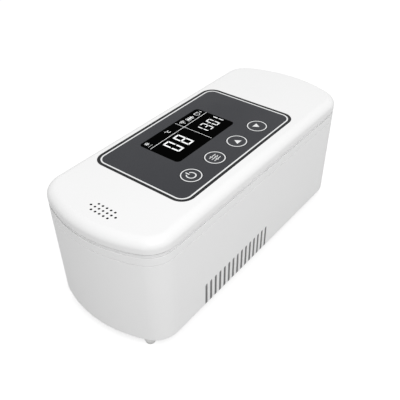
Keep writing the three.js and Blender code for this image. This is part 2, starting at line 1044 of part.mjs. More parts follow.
function controlBoard() {
  const board = plate(
    roundedRectangle(boardLength, boardWidth, boardCorner),
    0,
    boardThickness,
  );
  const root = boardThickness / 2;
  const capacitors = [-1, 1].map((side) =>
    rod(
      capacitorRadius,
      root,
      boardThickness + capacitorHeight,
      -boardLength / 4,
      (side * capacitorSpacing) / 2,
    ),
  );
  const coil = plate(
    roundedRectangle(coilSize, coilSize, coilCorner, boardLength / 4, 0),
    root,
    boardThickness + coilHeight,
  );
  const plugs = [-1, 1].map((side) =>
    block(
      plugWidth,
      plugLength,
      root,
      boardThickness + plugHeight,
      (side * boardLength) / 4,
      -boardWidth / 2 + plugLength,
    ),
  );
  return join(board, ...capacitors, coil, ...plugs);
}

// Supply inlet: a block with a round nose, a blind bore and a centre pin
function supplyInlet() {
  const noseEnd = caseWidth / 2 - shellDraft - seatGap;
  const blockEnd = caseWidth / 2 - shellDraft - shellWall - seatGap;
  const housing = crossBar(
    roundedRectangle(inletWidth, inletHeight, inletWidth / 8),
    blockEnd - inletDepth,
    blockEnd,
  );
  const nose = rodAlongY(inletNoseRadius, blockEnd - overrun, noseEnd, 0, 0);
  const bore = rodAlongY(inletBoreRadius, noseEnd - inletBoreDepth, noseEnd + overrun, 0, 0);
  const pin = rodAlongY(
    inletPinRadius,
    noseEnd - inletBoreDepth - overrun,
    noseEnd - overrun,
    0,
    0,
    pegSides,
  );
  return join(cut(join(housing, nose), bore), pin);
}

function temperatureSensor() {
  return rodAlongX(sensorRadius, sensorLength, 0, 0, 0, pegSides);
}

const magnet = () => rod(magnetRadius, 0, magnetHeight);

// Lid

const deckUnderside = lidHeight - lidTopWall;
const panelSeat = lidHeight - panelThickness - seatGap;
const panelWidth = caseWidth - 2 * panelSideMargin;
const panelX = panelMiddleShare * caseLength;
const keyY = panelY - panelWidth / 2 + keyMargin;
const keyPlaces = Array.from(
  { length: keyCount },
  (_, i) => panelX + keyShift + (i - (keyCount - 1) / 2) * keyPitch,
);
const windowHigh = panelY + panelWidth / 2 - windowTopMargin;
const windowLow = keyY + keyRadius + windowKeyGap;
const windowWidth = windowHigh - windowLow;
const windowX = panelX + windowShift;
const windowY = (windowHigh + windowLow) / 2;
const displayBoardWidth = panelWidth - 2 * displayBoardMargin;
const soundHoleX = soundHoleEndRoom - caseLength / 2;
const displayBoardBottom = linerThickness - linerDrop + seatGap;
const displayBoardTop = displayBoardBottom + displayBoardThickness;

function soundHoles() {
  const holes = [];
  for (const row of [-1, 0, 1]) {
    const count = row === 0 ? soundLongRow : soundShortRow;
    for (let i = 0; i < count; i++) {
      const x = soundHoleX + row * soundRowPitch;
      const y = soundHoleY + (i - (count - 1) / 2) * soundHolePitch;
      holes.push(
        rod(soundHoleRadius, deckUnderside - overrun, lidHeight + overrun, x, y, holeSides),
      );
    }
  }
  return holes;
}

function lidCover() {
  const levels = [
    [lidLowerEdge, 0],
    [0, lidLowerEdge],
  ];
  for (let i = 0; i <= edgeSteps; i++) {
    const angle = (Math.PI / 2) * (i / edgeSteps);
    const inset = lidEdgeReach * (1 - Math.cos(angle));
    levels.push([inset, lidHeight - lidEdgeDrop * (1 - Math.sin(angle))]);
  }
  const hollow = caseForm([
    [lidWall, -overrun],
    [lidWall, lidInnerRise],
    [lidInnerReach, deckUnderside],
  ]);
  const panelRecess = plate(
    roundedRectangle(
      panelLength + 2 * slideGap,
      panelWidth + 2 * slideGap,
      panelCorner + slideGap,
      panelX,
      panelY,
    ),
    panelSeat,
    lidHeight + overrun,
  );
  const displayOpening = plate(
    roundedRectangle(
      windowLength - 2 * windowLedge,
      windowWidth - 2 * windowLedge,
      windowCorner,
      windowX,
      windowY,
    ),
    deckUnderside - overrun,
    lidHeight + overrun,
  );
  const keyHoles = keyPlaces.map((x) =>
    rod(keyRadius + slideGap, deckUnderside - overrun, lidHeight + overrun, x, keyY),
  );
  const pegs = corners.map(([sideX, sideY]) =>
    rod(
      displayBoardPegRadius,
      displayBoardTop + seatGap,
      panelSeat - seatGap,
      panelX + sideX * (displayBoardLength / 2 - displayBoardPegInset),
      panelY + sideY * (displayBoardWidth / 2 - displayBoardPegInset),
      pegSides,
    ),
  );
  const sounderRing = cut(
    rod(
      sounderRadius + seatGap + sounderRingWall,
      deckUnderside - sounderRingHeight,
      deckUnderside + lidTopWall / 2,
      soundHoleX,
      soundHoleY,
    ),
    rod(sounderRadius + seatGap, -overrun, deckUnderside, soundHoleX, soundHoleY),
  );
  return cut(
    join(cut(caseForm(levels), hollow), ...pegs, sounderRing),
    panelRecess,
    displayOpening,
    ...keyHoles,
    ...soundHoles(),
  );
}

function lidPanel() {
  const sheet = plate(
    roundedRectangle(panelLength, panelWidth, panelCorner, panelX, panelY),
    0,
    panelThickness,
  );
  const window = plate(
    roundedRectangle(
      windowLength + 2 * slideGap,
      windowWidth + 2 * slideGap,
      windowCorner + slideGap,
      windowX,
      windowY,
    ),
    -overrun,
    panelThickness + overrun,
  );
  const keyHoles = keyPlaces.map((x) =>
    rod(keyRadius + slideGap, -overrun, panelThickness + overrun, x, keyY),
  );
  return cut(sheet, window, ...keyHoles);
}

function displayWindow() {
  return plate(roundedRectangle(windowLength, windowWidth, windowCorner), 0, panelThickness);
}

function displayModule() {
  const length = windowLength - 2 * (windowLedge + seatGap);
  const width = windowWidth - 2 * (windowLedge + seatGap);
  return plate(roundedRectangle(length, width, windowCorner - seatGap), 0, displayThickness);
}

function displayBoard() {
  return plate(
    roundedRectangle(displayBoardLength, displayBoardWidth, displayBoardCorner, panelX, panelY),
    0,
    displayBoardThickness,
  );
}

// Key: a flat cap whose flange catches under the lid, so that it can't fall out
function key() {
  const top = lidTopWall + keyFlangeThickness + seatGap;
  const edge = slideGap / 2;
  return turned([
    [0, 0],
    [keyFlangeRadius, 0],
    [keyFlangeRadius, keyFlangeThickness],
    [keyRadius, keyFlangeThickness],
    [keyRadius, top - edge],
    [keyRadius - edge, top],
    [0, top],
  ]);
}

function keySwitch() {
  return join(
    plate(roundedRectangle(switchSize, switchSize, switchCorner), 0, switchHeight),
    rod(plungerRadius, switchHeight / 2, switchHeight + plungerHeight, 0, 0, pegSides),
  );
}

function sounder() {
  return turned([
    [0, 0],
    [sounderRadius, 0],
    [sounderRadius, sounderHeight],
    [sounderPortRadius, sounderHeight],
    [sounderPortRadius, sounderHeight - slideGap],
    [0, sounderHeight - slideGap],
  ]);
}

// Lid liner: a flange that closes the lid, a hollow plug for the foam, and the lid's knuckles
function lidLiner() {
  const inset = lidWall + seatGap;
  const flange = caseForm([
    [inset, -linerDrop],
    [inset, linerThickness - linerDrop],
  ]);
  const plugOutline = (shrink) =>
    roundedRectangle(
      chamberLength - 2 * shrink,
      chamberWidth - 2 * shrink,
      chamberCorner - shrink,
    );
  const plug = plate(plugOutline(plugGap), -linerDrop - plugDepth, 0);
  const pocket = plate(
    plugOutline(plugGap + plugWall),
    -linerDrop - plugDepth + plugWall,
    linerThickness + overrun,
  );
  const magnetCups = [-1, 1].map((side) =>
    cut(
      rod(
        magnetRadius + seatGap + magnetCupWall,
        0,
        linerThickness - linerDrop + magnetHeight,
        side * magnetX,
        magnetY,
      ),
      rod(
        magnetRadius + seatGap,
        linerThickness - linerDrop,
        linerThickness + magnetHeight + overrun,
        side * magnetX,
        magnetY,
      ),
    ),
  );
  const axisZ = -linerDrop - hingeDrop;
  const armOuter = caseWidth / 2 - inset;
  const armInner = hingeY - barrelRadius;
  const knuckles = [-1, 1].flatMap((side) => [
    rodAlongX(barrelRadius, lidKnuckleLength, side * hingeStationX, hingeY, axisZ),
    block(
      lidKnuckleLength,
      armOuter - armInner,
      axisZ,
      0,
      side * hingeStationX,
      (armOuter + armInner) / 2,
    ),
  ]);
  const bores = [-1, 1].map((side) =>
    rodAlongX(
      pinRadius + slideGap,
      lidKnuckleLength + 2 * overrun,
      side * hingeStationX,
      hingeY,
      axisZ,
      pegSides,
    ),
  );
  return cut(join(cut(join(flange, plug), pocket), ...magnetCups, ...knuckles), ...bores);
}

function lidFoam() {
  const shrink = 2 * (plugGap + plugWall + seatGap);
  const height = plugDepth + linerThickness - plugWall - seatGap;
  return plate(
    roundedRectangle(chamberLength - shrink, chamberWidth - shrink, chamberCorner - shrink / 2),
    0,
    height,
  );
}

function lidGasket() {
  const innerReach = 2 * (seatGap - plugGap);
  const outerReach = innerReach + 2 * gasketWidth;
  return cut(
    plate(
      roundedRectangle(
        chamberLength + outerReach,
        chamberWidth + outerReach,
        chamberCorner + outerReach / 2,
      ),
      0,
      gasketHeight,
    ),
    plate(
      roundedRectangle(
        chamberLength + innerReach,
        chamberWidth + innerReach,
        chamberCorner + innerReach / 2,
      ),
      -overrun,
      gasketHeight + overrun,
    ),
  );
}

function hingePin() {
  return rodAlongX(pinRadius, 2 * (stationHalf - seatGap), 0, 0, 0, pegSides);
}

// Assembly

const base = new THREE.Group();
base.add(piece("lower_shell", lowerShell(), whitePlastic, 0, 0, shellBottom));
base.add(piece("top_frame", topFrame(), whitePlastic, 0, 0, frameBottom));
base.add(piece("cold_box", coldBox(), aluminium, 0, 0, coldBoxBottom));
base.add(piece("insulation", insulation(), whiteFoam, 0, 0, insulationBottom));
base.add(piece("pen_tray", penTray(), darkFoam, 0, 0, chamberBottom + seatGap));
corners.forEach(([sideX, sideY], i) => {
  base.add(piece(`foot_${cornerNames[i]}`, foot(), greyRubber, sideX * footX, sideY * footY));
  base.add(
    piece(
      `case_screw_${cornerNames[i]}`,
      caseScrew(),
      steel,
      sideX * screwX,
      sideY * screwY,
      shellBottom + screwRecess - screwHeadHeight - seatGap,
    ),
  );
});
for (const [side, name] of [
  [-1, "left"],
  [1, "right"],
]) {
  const z = landTop - deckThickness - seatGap - magnetHeight;
  base.add(piece(`base_magnet_${name}`, magnet(), steel, side * magnetX, magnetY, z));
  base.add(piece(`hinge_pin_${name}`, hingePin(), steel, side * hingeStationX, hingeY, hingeZ));
}
base.add(
  piece(
    "temperature_sensor",
    temperatureSensor(),
    blackPlastic,
    sensorX,
    0,
    coldBoxBottom - seatGap - sensorRadius,
  ),
);

const cooler = new THREE.Group();
cooler.position.x = coolerX;
const tile = block(tileSize, tileSize, 0, tileThickness);
cooler.add(piece("cooling_tile", tile, ceramicWhite, 0, 0, tileBottom));
cooler.add(piece("heat_sink", heatSink(), aluminium, 0, 0, sinkBottom));
cooler.add(piece("fan_frame", fanFrame(), blackPlastic, 0, 0, fanBottom));
cooler.add(piece("fan_bearing", fanBearing(), brass, 0, 0, fanBottom + bearingBottom));
cooler.add(piece("fan_rotor", fanRotor(), blackPlastic, 0, 0, fanBottom + rotorBottom));
base.add(cooler);

const battery = new THREE.Group();
battery.position.set(batteryX, 0, shellFloor + seatGap);
battery.add(piece("battery_holder", batteryHolder(), blackPlastic));
for (const [side, name] of [
  [-1, "front"],
  [1, "rear"],
]) {
  battery.add(piece(`cell_${name}`, cell(), cellWrap, 0, (side * cellSpacing) / 2, cellRise));
}
base.add(battery);

const electronics = new THREE.Group();
const boardBottom = shellFloor + standoffHeight + seatGap;
electronics.add(piece("control_board", controlBoard(), boardGreen, boardX, 0, boardBottom));
electronics.add(piece("supply_inlet", supplyInlet(), blackPlastic, inletX, 0, inletZ));
base.add(electronics);

const lid = new THREE.Group();
lid.position.z = lidBottom;
lid.add(piece("lid_cover", lidCover(), whitePlastic));
lid.add(piece("lid_panel", lidPanel(), panelFilm, 0, 0, lidHeight - panelThickness));
lid.add(
  piece(
    "display_window",
    displayWindow(),
    windowGlass,
    windowX,
    windowY,
    lidHeight - panelThickness,
  ),
);
lid.add(
  piece(
    "display_module",
    displayModule(),
    blackPlastic,
    windowX,
    windowY,
    displayBoardTop + seatGap,
  ),
);
lid.add(piece("display_board", displayBoard(), boardGreen, 0, 0, displayBoardBottom));
["power", "set", "up", "down"].forEach((name, i) => {
  const keyBottom = deckUnderside - seatGap - keyFlangeThickness;
  lid.add(piece(`key_${name}`, key(), panelFilm, keyPlaces[i], keyY, keyBottom));
  const switchBottom = displayBoardTop + seatGap;
  lid.add(piece(`switch_${name}`, keySwitch(), blackPlastic, keyPlaces[i], keyY, switchBottom));
});
const sounderBottom = deckUnderside - seatGap - sounderHeight;
lid.add(piece("sounder", sounder(), blackPlastic, soundHoleX, soundHoleY, sounderBottom));
lid.add(piece("lid_liner", lidLiner(), innerPlastic));
lid.add(piece("lid_foam", lidFoam(), whiteFoam, 0, 0, plugWall + seatGap - linerDrop - plugDepth));
lid.add(piece("lid_gasket", lidGasket(), greyRubber, 0, 0, -linerDrop - seatGap - gasketHeight));
for (const [side, name] of [
  [-1, "left"],
  [1, "right"],
]) {
  const z = linerThickness - linerDrop + seatGap;
  lid.add(piece(`lid_magnet_${name}`, magnet(), steel, side * magnetX, magnetY, z));
}

const coolingCase = new THREE.Group();
coolingCase.add(base, lid);

export default coolingCase;
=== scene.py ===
"""Insulin cooling case: the finished surfaces of each piece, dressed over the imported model.
Sizes are in millimetres in the model's own frame, and the meshes are made in metres."""

import json

import bpy
import numpy as np
from mathutils import Matrix, Vector

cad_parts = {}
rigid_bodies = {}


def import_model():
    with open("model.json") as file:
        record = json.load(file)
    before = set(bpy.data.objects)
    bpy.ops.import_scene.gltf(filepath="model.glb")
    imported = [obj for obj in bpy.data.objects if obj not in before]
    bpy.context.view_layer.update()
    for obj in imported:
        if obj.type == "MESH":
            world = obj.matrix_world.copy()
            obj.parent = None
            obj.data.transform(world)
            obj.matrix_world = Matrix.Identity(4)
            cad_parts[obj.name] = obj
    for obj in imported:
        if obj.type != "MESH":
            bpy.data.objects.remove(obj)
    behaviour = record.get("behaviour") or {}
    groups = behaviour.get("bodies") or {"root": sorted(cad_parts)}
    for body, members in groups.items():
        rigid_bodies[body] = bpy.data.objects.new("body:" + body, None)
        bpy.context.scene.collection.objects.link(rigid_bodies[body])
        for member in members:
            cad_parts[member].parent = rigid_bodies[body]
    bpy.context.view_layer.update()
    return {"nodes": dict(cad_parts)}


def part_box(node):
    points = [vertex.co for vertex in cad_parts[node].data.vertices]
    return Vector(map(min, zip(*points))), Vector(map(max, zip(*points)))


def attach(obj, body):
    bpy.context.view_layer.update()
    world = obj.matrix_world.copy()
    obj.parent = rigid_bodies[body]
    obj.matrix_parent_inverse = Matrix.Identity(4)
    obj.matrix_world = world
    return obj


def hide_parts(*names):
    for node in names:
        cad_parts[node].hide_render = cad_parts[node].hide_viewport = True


for spare in list(bpy.data.objects):
    bpy.data.objects.remove(spare)
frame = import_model()

# Lower shell
# The tub of the case: white ABS, injection moulded with a slight draft, its lower edge rounded.
# Slots let air in and out along both long sides and under the fan. Screws pull it to the frame.


def reach(node):
    """A node's lowest and highest corners in the frame, in millimetres."""
    return tuple(np.array(corner) * 1000 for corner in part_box(node))


def middle(node):
    """The middle of a node's box in the frame, in millimetres."""
    return sum(reach(node)) / 2


def heights(node):
    """The heights of a node's underside and top."""
    return [corner[2] for corner in reach(node)]


def size_of(node):
    """A node's length, width and height."""
    low, high = reach(node)
    return high - low


case_length, case_width = size_of("lower_shell")[:2]
side = case_width / 2
end_arc_radius = 82.1
corner_radius = 16.6
shell_bottom, shell_rim = heights("lower_shell")
# The tub's rim stands this much higher in the photo than in the solids
rim_lift = 0.15
shell_top = shell_rim + rim_lift
shell_wall = 2.2
shell_draft = 0.5
shell_edge = 0.6
rim_edge = 0.12
seam_gap = 0.24
floor_thickness = 2.2
floor_top = shell_bottom + floor_thickness
vent_count = 15
vent_pitch = 4.6
vent_width = 2.2
vent_rise = 17
# The photo shows the slots this far to the right of where the solids have them
vents_ahead = 0.9
cooler_x = middle("fan_frame")[0]
battery_x = middle("battery_holder")[0]
grille_radius = 22.7
grille_slot_width = 2.6
grille_slot_pitch = 4.8
# Just under half the width, so that no two points of a slot's outline meet
grille_slot_round = grille_slot_width / 2.001
corners = np.array([[-1, -1], [1, -1], [1, 1], [-1, 1]])
corner_names = ["front_left", "front_right", "rear_right", "rear_left"]
screw_places = [middle("case_screw_" + name)[:2] for name in corner_names]
screw_recess_radius = 3.1
screw_recess_depth = 4
screw_hole_radius = 1.45
boss_radius = 4.6
boss_height = 6
boss_sink = 0.3
foot_places = [middle("foot_" + name)[:2] for name in corner_names]
foot_hole_radius = 1.85
inlet_z = middle("supply_inlet")[2]
inlet_hole_radius = 4.2
inlet_hole_depth = 4
rib_thickness = 1.6
rib_length = shell_wall + 3
rib_inset = 0.3
rib_foot = shell_bottom + 1
rib_top = heights("insulation")[0] - 0.3
rib_pitch = 20
end_rib_inset = 4.4
end_rib_y = 12
# A cut runs this far past the faces it goes through
past = 1


def arc(x, y, radius, start, end, steps):
    """Points on an arc: its centre plus the radius times the cosine and sine of evenly spaced
    angles, both ends included. Shape (steps, 2)."""
    angle = np.linspace(start, end, steps)
    return np.column_stack([x + radius * np.cos(angle), y + radius * np.sin(angle)])


def case_outline(inset, corner_steps=14, end_steps=29):
    """The case seen from above, pulled in by an inset: at each end a wide arc meets two round
    corners at a common tangent, and straight sides join the ends. Anticlockwise, shape (n, 2)."""
    quarter = np.pi / 2
    end_x = case_length / 2 - end_arc_radius
    corner_y = case_width / 2 - corner_radius
    corner_x = end_x + np.sqrt((end_arc_radius - corner_radius) ** 2 - corner_y**2)
    tangent = np.arctan2(corner_y, corner_x - end_x)
    radius = corner_radius - inset
    half = np.concatenate(
        [
            arc(corner_x, -corner_y, radius, -quarter, -tangent, corner_steps),
            arc(end_x, 0, end_arc_radius - inset, -tangent, tangent, end_steps)[1:-1],
            arc(corner_x, corner_y, radius, tangent, quarter, corner_steps),
        ]
    )
    return np.concatenate([half, -half])


def round_rectangle(length, width, radius, x=0, y=0, steps=9):
    """A rectangle with quarter-circle corners, centred on x and y. Anticlockwise, shape (n, 2)."""
    quarter = np.pi / 2
    centres = corners * [length / 2 - radius, width / 2 - radius] + [x, y]
    starts = quarter * np.array([2, 3, 0, 1])
    return np.concatenate(
        [arc(*c, radius, start, start + quarter, steps) for c, start in zip(centres, starts)]
    )


def circle(radius, x=0, y=0, steps=48):
    """Evenly spaced points round a circle, anticlockwise, shape (steps, 2)."""
    return arc(x, y, radius, 0, 2 * np.pi, steps + 1)[:-1]


def at_height(outline, z):
    """An outline in X and Y set at a height, shape (n, 3)."""
    return np.column_stack([outline, np.full(len(outline), z)])


def skin(rings, joined=False):
    """A closed surface through rings of points, shape (rings, n, 3). Quads run from each ring to
    the next. The first and last rings get a flat face each, or are joined to one another."""
    rings = np.asarray(rings, float)
    count, size = rings.shape[:2]
    here = np.arange(count * size).reshape(count, size)
    low, high = (here, np.roll(here, -1, 0)) if joined else (here[:-1], here[1:])
    quads = np.stack([low, np.roll(low, -1, 1), np.roll(high, -1, 1), high], -1)
    caps = [] if joined else [here[0, ::-1].tolist(), here[-1].tolist()]
    return rings.reshape(-1, 3), quads.reshape(-1, 4).tolist() + caps


def levels(outline_at, profile, joined=False):
    """A form through levels of (inset, height): the outline is pulled in by each inset and set at
    its height, lowest outside level first."""
    return skin([at_height(outline_at(inset), z) for inset, z in profile], joined)


def round_edge(inset, z, radius, upper=False):
    """Levels of a round edge, lowest first: five points on a quarter circle, which touches the
    inset and the height z, the height from above or, for an upper edge, from below."""
    angle = np.linspace(0, np.pi / 2, 5)
    less, more = radius * (1 - np.sin(angle)), radius * (1 - np.cos(angle))
    return zip(inset + more, z - less) if upper else zip(inset + less, z + more)


def eased(inset, low, high, edge):
    """Levels of a plate whose upper edge is eased: straight up, then in by the edge over the same
    height, by way of a point that bulges out."""
    bulge = edge * 0.3
    return [(inset, low), (inset, high - edge), (inset + bulge, high - bulge), (inset + edge, high)]


def plate(outline, low, high):
    """An outline in X and Y carried straight up from one height to another."""
    return skin([at_height(outline, low), at_height(outline, high)])


def holes(places, radius, low, high, steps=48):
    """An upright round bar at each place, from one height to another: to drill with, as a rule."""
    return [plate(circle(radius, *place, steps), low, high) for place in places]


def block(length, width, low, high, x, y):
    """A square-edged block between two heights, centred on x and y."""
    return plate(corners * [length / 2, width / 2] + [x, y], low, high)


def bar_along_y(outline, low, high):
    """An outline in X and Z carried straight along Y. It is turned round first, because X, Z and
    Y run left-handed, so that the faces point outwards."""
    return skin([np.insert(outline[::-1], 1, y, axis=1) for y in (low, high)])


def bar_along_x(outline, low, high):
    """An outline in Y and Z carried straight along X."""
    return skin([np.insert(outline, 0, x, axis=1) for x in (low, high)])


def turned(profile, x=0, y=0, steps=48, joined=False):
    """A profile of (radius, height) turned about an upright axis, lowest outside point first."""
    return skin([at_height(circle(radius, x, y, steps), z) for radius, z in profile], joined)


def tube(outer, inner, low, high, x, y, steps=32):
    """A round tube between two heights."""
    profile = [(outer, low), (outer, high), (inner, high), (inner, low)]
    return turned(profile, x, y, steps, joined=True)


def solid(name, *surfaces):
    """A mesh object at the origin from closed surfaces: their points in a row, turned from
    millimetres to metres, and each one's faces counted on."""
    starts = np.cumsum([0] + [len(points) for points, _ in surfaces]).tolist()
    faces = [[i + n for i in face] for n, (_, own) in zip(starts, surfaces) for face in own]
    points = np.concatenate([points for points, _ in surfaces]) * 0.001
    mesh = bpy.data.meshes.new(name)
    mesh.from_pydata(points.tolist(), [], faces)
    made = bpy.data.objects.new(name, mesh)
    bpy.context.scene.collection.objects.link(made)
    return made


def carve(body, *tools, how="DIFFERENCE"):
    """The body less the tools' volume, or with it: the result is kept as a plain mesh."""
    tool = solid("tool", *tools)
    step = body.modifiers.new("carve", "BOOLEAN")
    step.operation = how
    step.solver = "EXACT"
    step.object = tool
    evaluated = body.evaluated_get(bpy.context.evaluated_depsgraph_get())
    body.data = bpy.data.meshes.new_from_object(evaluated)
    body.data.name = body.name
    body.modifiers.clear()
    bpy.data.objects.remove(tool)


def dress(piece, look, body, stands_for=(), sharp=32):
    """Finishes a piece: smooth faces with edges kept where they turn by more than the sharp angle
    in degrees, its material, the body it rides on and the nodes it stands for."""
    mesh = piece.data
    mesh.shade_smooth()
    mesh.set_sharp_from_angle(angle=np.radians(sharp))
    weighted = piece.modifiers.new("large faces stay flat", "WEIGHTED_NORMAL")
    weighted.keep_sharp = True
    mesh.materials.clear()
    mesh.materials.append(look)
    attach(piece, body)
    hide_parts(*stands_for)


def colour(code):
    """An sRGB hex colour as linear red, green, blue and alpha: the low end is divided by 12.92,
    and the rest follows the 2.4 power curve."""
    share = np.array([int(code[i : i + 2], 16) for i in (1, 3, 5)]) / 255
    linear = np.where(share <= 0.04045, share / 12.92, ((share + 0.055) / 1.055) ** 2.4)
    return (*linear.tolist(), 1)


def add(home, kind, inputs, **settings):
    """Adds a node to the tree that a socket belongs to: each input as a value or a linked output,
    and its settings by name."""
    tree = home.id_data
    made = tree.nodes.new("ShaderNode" + kind)
    for name, value in settings.items():
        setattr(made, name, value)
    for name, value in inputs.items():
        if isinstance(value, bpy.types.NodeSocket):
            tree.links.new(value, made.inputs[name])
        else:
            made.inputs[name].default_value = value
    return made


def wire(output, shader, socket):
    """Links an output to a socket of a shader."""
    output.id_data.links.new(output, shader.inputs[socket])


def material(name, **values):
    """A material with one surface shader: values go on its sockets by name. Gives the material,
    the shader and the object's own coordinates."""
    made = bpy.data.materials.new(name)
    made.use_nodes = True
    shader = made.node_tree.nodes["Principled BSDF"]
    for socket, value in values.items():
        shader.inputs[socket.replace("_", " ")].default_value = value
    return made, shader, add(made.node_tree, "TexCoord", {}).outputs["Object"]


def per_metre(size):
    """Texture scale for a pattern whose features repeat every so many millimetres."""
    return 1000 / size


def noise(place, size, detail):
    """Soft noise from 0 to 1 in patches of a size in millimetres."""
    inputs = {"Vector": place, "Scale": per_metre(size), "Detail": detail}
    return add(place, "TexNoise", inputs).outputs["Fac"]


def maths(operation, *values):
    """A sum done on an output and other outputs or values, by its name in Blender."""
    return add(values[0], "Math", dict(enumerate(values)), operation=operation).outputs[0]


def blend(share, low, high):
    """A colour between two hex colours by a share from 0 to 1."""
    inputs = {0: share, 6: colour(low), 7: colour(high)}
    return add(share, "Mix", inputs, data_type="RGBA").outputs[2]


def between(share, low, high, start=0, end=1):
    """A number that runs from low to high as the share runs from start to end."""
    inputs = {"Value": share, "From Min": start, "From Max": end, "To Min": low, "To Max": high}
    return add(share, "MapRange", inputs).outputs["Result"]


def tint(shader, share, low, high):
    """Sets the shader's colour: between two hex colours by a share from 0 to 1."""
    wire(blend(share, low, high), shader, "Base Color")


def scuff(shader, share, low, high, start=0.3, end=0.7):
    """Sets the shader's roughness: from low to high as the share runs from start to end."""
    wire(between(share, low, high, start, end), shader, "Roughness")


def roughen(shader, height, depth):
    """Bump from a height from 0 to 1, over a depth in millimetres."""
    bump = add(height, "Bump", {"Height": height, "Distance": depth * 0.001, "Strength": 1})
    wire(bump.outputs["Normal"], shader, "Normal")


def moulded_plastic(name, light, dark, low_gloss, high_gloss, grain, depth):
    """Moulded plastic: a colour that drifts a little over 40 mm, a roughness that drifts over
    15 mm, and a fine mould grain as bump."""
    made, shader, place = material(name, IOR=1.53, Specular_IOR_Level=0.35)
    tint(shader, noise(place, 40, 3.0), dark, light)
    scuff(shader, noise(place, 15, 4.0), low_gloss, high_gloss)
    roughen(shader, noise(place, grain, 2.0), depth)
    return made


# Semi-gloss ABS from a polished mould: soft reflections and a faint orange peel, about 0.8 mm
glossy_white_abs = moulded_plastic(
    "glossy_white_abs", "#F4F4F4", "#F2F2F2", 0.28, 0.31, 0.8, 0.0015
)


def vent_outline(x, foot, margin=0):
    """A vent's outline in X and Z, pulled in by a margin: upright sides from its foot, and a half
    circle on top."""
    half = vent_width / 2 - margin
    top = arc(x, shell_bottom + vent_rise - vent_width / 2, half, 0, np.pi, 9)
    return np.concatenate([[[x - half, foot], [x + half, foot]], top])


shell_profile = [
    *round_edge(shell_draft, shell_bottom, shell_edge),
    *round_edge(0, shell_top, rim_edge, upper=True),
    (shell_wall, shell_top),
    (shell_wall + shell_draft, floor_top),
]
lower_shell = solid("shell_tub", levels(case_outline, shell_profile))
vent_depth = shell_wall + shell_draft + 0.25
vent_x = cooler_x + vents_ahead + (np.arange(vent_count) - (vent_count - 1) / 2) * vent_pitch
grille_y = np.arange(-4, 5) * grille_slot_pitch
grille_length = 2 * np.sqrt(grille_radius**2 - grille_y**2)
through_floor = (shell_bottom - past, floor_top + past)
carve(
    lower_shell,
    *[
        bar_along_y(vent_outline(x, shell_bottom - past), *ends)
        for ends in ((-side - past, vent_depth - side), (side - vent_depth, side + past))
        for x in vent_x
    ],
    *[
        plate(
            round_rectangle(length, grille_slot_width, grille_slot_round, cooler_x, y),
            *through_floor,
        )
        for length, y in zip(grille_length, grille_y)
    ],
    *holes(foot_places, foot_hole_radius, *through_floor, 24),
    *holes(screw_places, screw_recess_radius, *through_floor),
    bar_along_y(
        circle(inlet_hole_radius, battery_x, inlet_z), side - inlet_hole_depth, side + past
    ),
)
side_rib_y = side - shell_draft - rib_length / 2 - rib_inset
side_ribs = [
    block(rib_thickness, rib_length, rib_foot, rib_top, x, y)
    for x in battery_x + (np.arange(4) - 1.5) * rib_pitch
    for y in (-side_rib_y, side_rib_y)
]
end_ribs = [
    block(rib_length, rib_thickness, rib_foot, rib_top, *place)
    for place in corners * [case_length / 2 - end_rib_inset, end_rib_y]
]
boss_profile = [
    (boss_radius, shell_bottom + boss_sink),
    (boss_radius, shell_bottom + boss_height),
    (screw_hole_radius, shell_bottom + boss_height),
    (screw_hole_radius, shell_bottom + screw_recess_depth),
    (screw_recess_radius, shell_bottom + screw_recess_depth),
    (screw_recess_radius, shell_bottom + boss_sink),
]
bosses = [turned(boss_profile, *place, 32, joined=True) for place in screw_places]
inside = solid("shell_ribs_and_bosses", *side_ribs, *end_ribs, *bosses)
dress(lower_shell, glossy_white_abs, "base", ["lower_shell"])
dress(inside, glossy_white_abs, "base")

# Feet
# Four soft pads under the corners: grey thermoplastic rubber, each a low cone under a plain
# collar, with a peg that is pushed up through the floor of the shell.

foot_radius = size_of("foot_front_left")[0] / 2
foot_pad_radius = 2.6
foot_peg_radius = 1.6
foot_edge = (foot_radius - foot_pad_radius) / 4
foot_taper_top = 0.6 * shell_bottom


def rubber(name, light, dark, grain):
    """Moulded rubber: matt, with a fine grain as bump and a faint bloom that lightens it."""
    made, shader, place = material(name, IOR=1.5, Roughness=0.75)
    tint(shader, noise(place, 6, 4.0), dark, light)
    roughen(shader, noise(place, grain, 3.0), 0.03)
    return made


# Thermoplastic rubber, moulded: a soft grey with no shine, its grain drawn at 0.5 mm
grey_rubber = rubber("grey_thermoplastic_rubber", "#E4E4E3", "#DADAD9", 0.5)

foot_profile = [
    (foot_pad_radius, 0),
    (foot_pad_radius + foot_edge * 0.7, foot_edge * 0.2),
    (foot_pad_radius + foot_edge, foot_edge * 0.5),
    (foot_radius - foot_edge * 0.5, foot_taper_top - foot_edge),
    (foot_radius, foot_taper_top + foot_edge),
    (foot_radius, shell_bottom),
    (foot_peg_radius, shell_bottom),
    (foot_peg_radius, floor_top),
]
for name, place in zip(corner_names, foot_places):
    foot = solid("rubber_foot_" + name, turned(foot_profile, *place))
    dress(foot, grey_rubber, "base", ["foot_" + name])

# Case screws
# Four pan-head screws that go up through the shell into the long bosses of the top frame:
# zinc-plated steel with a cross recess, sunk in round pockets of the floor.

head_radius = size_of("case_screw_front_left")[0] / 2
head_bottom, screw_tip = heights("case_screw_front_left")
head_height = 1.8
shank_radius = 1.2
cross_length = 3
cross_width = 0.7
cross_depth = 1.1


def metal(name, light, dark, rough, grain, stretch, depth):
    """Metal: its colour drifts a little, its roughness follows a grain drawn out by the stretch
    along each axis, and the same grain is the bump."""
    made, shader, place = material(name, Metallic=1.0)
    tint(shader, noise(place, 12, 3.0), dark, light)
    drawn = add(place, "Mapping", {"Vector": place, "Scale": stretch}).outputs["Vector"]
    lines = noise(drawn, grain, 4.0)
    scuff(shader, lines, rough * 0.8, rough * 1.25)
    roughen(shader, lines, depth)
    return made


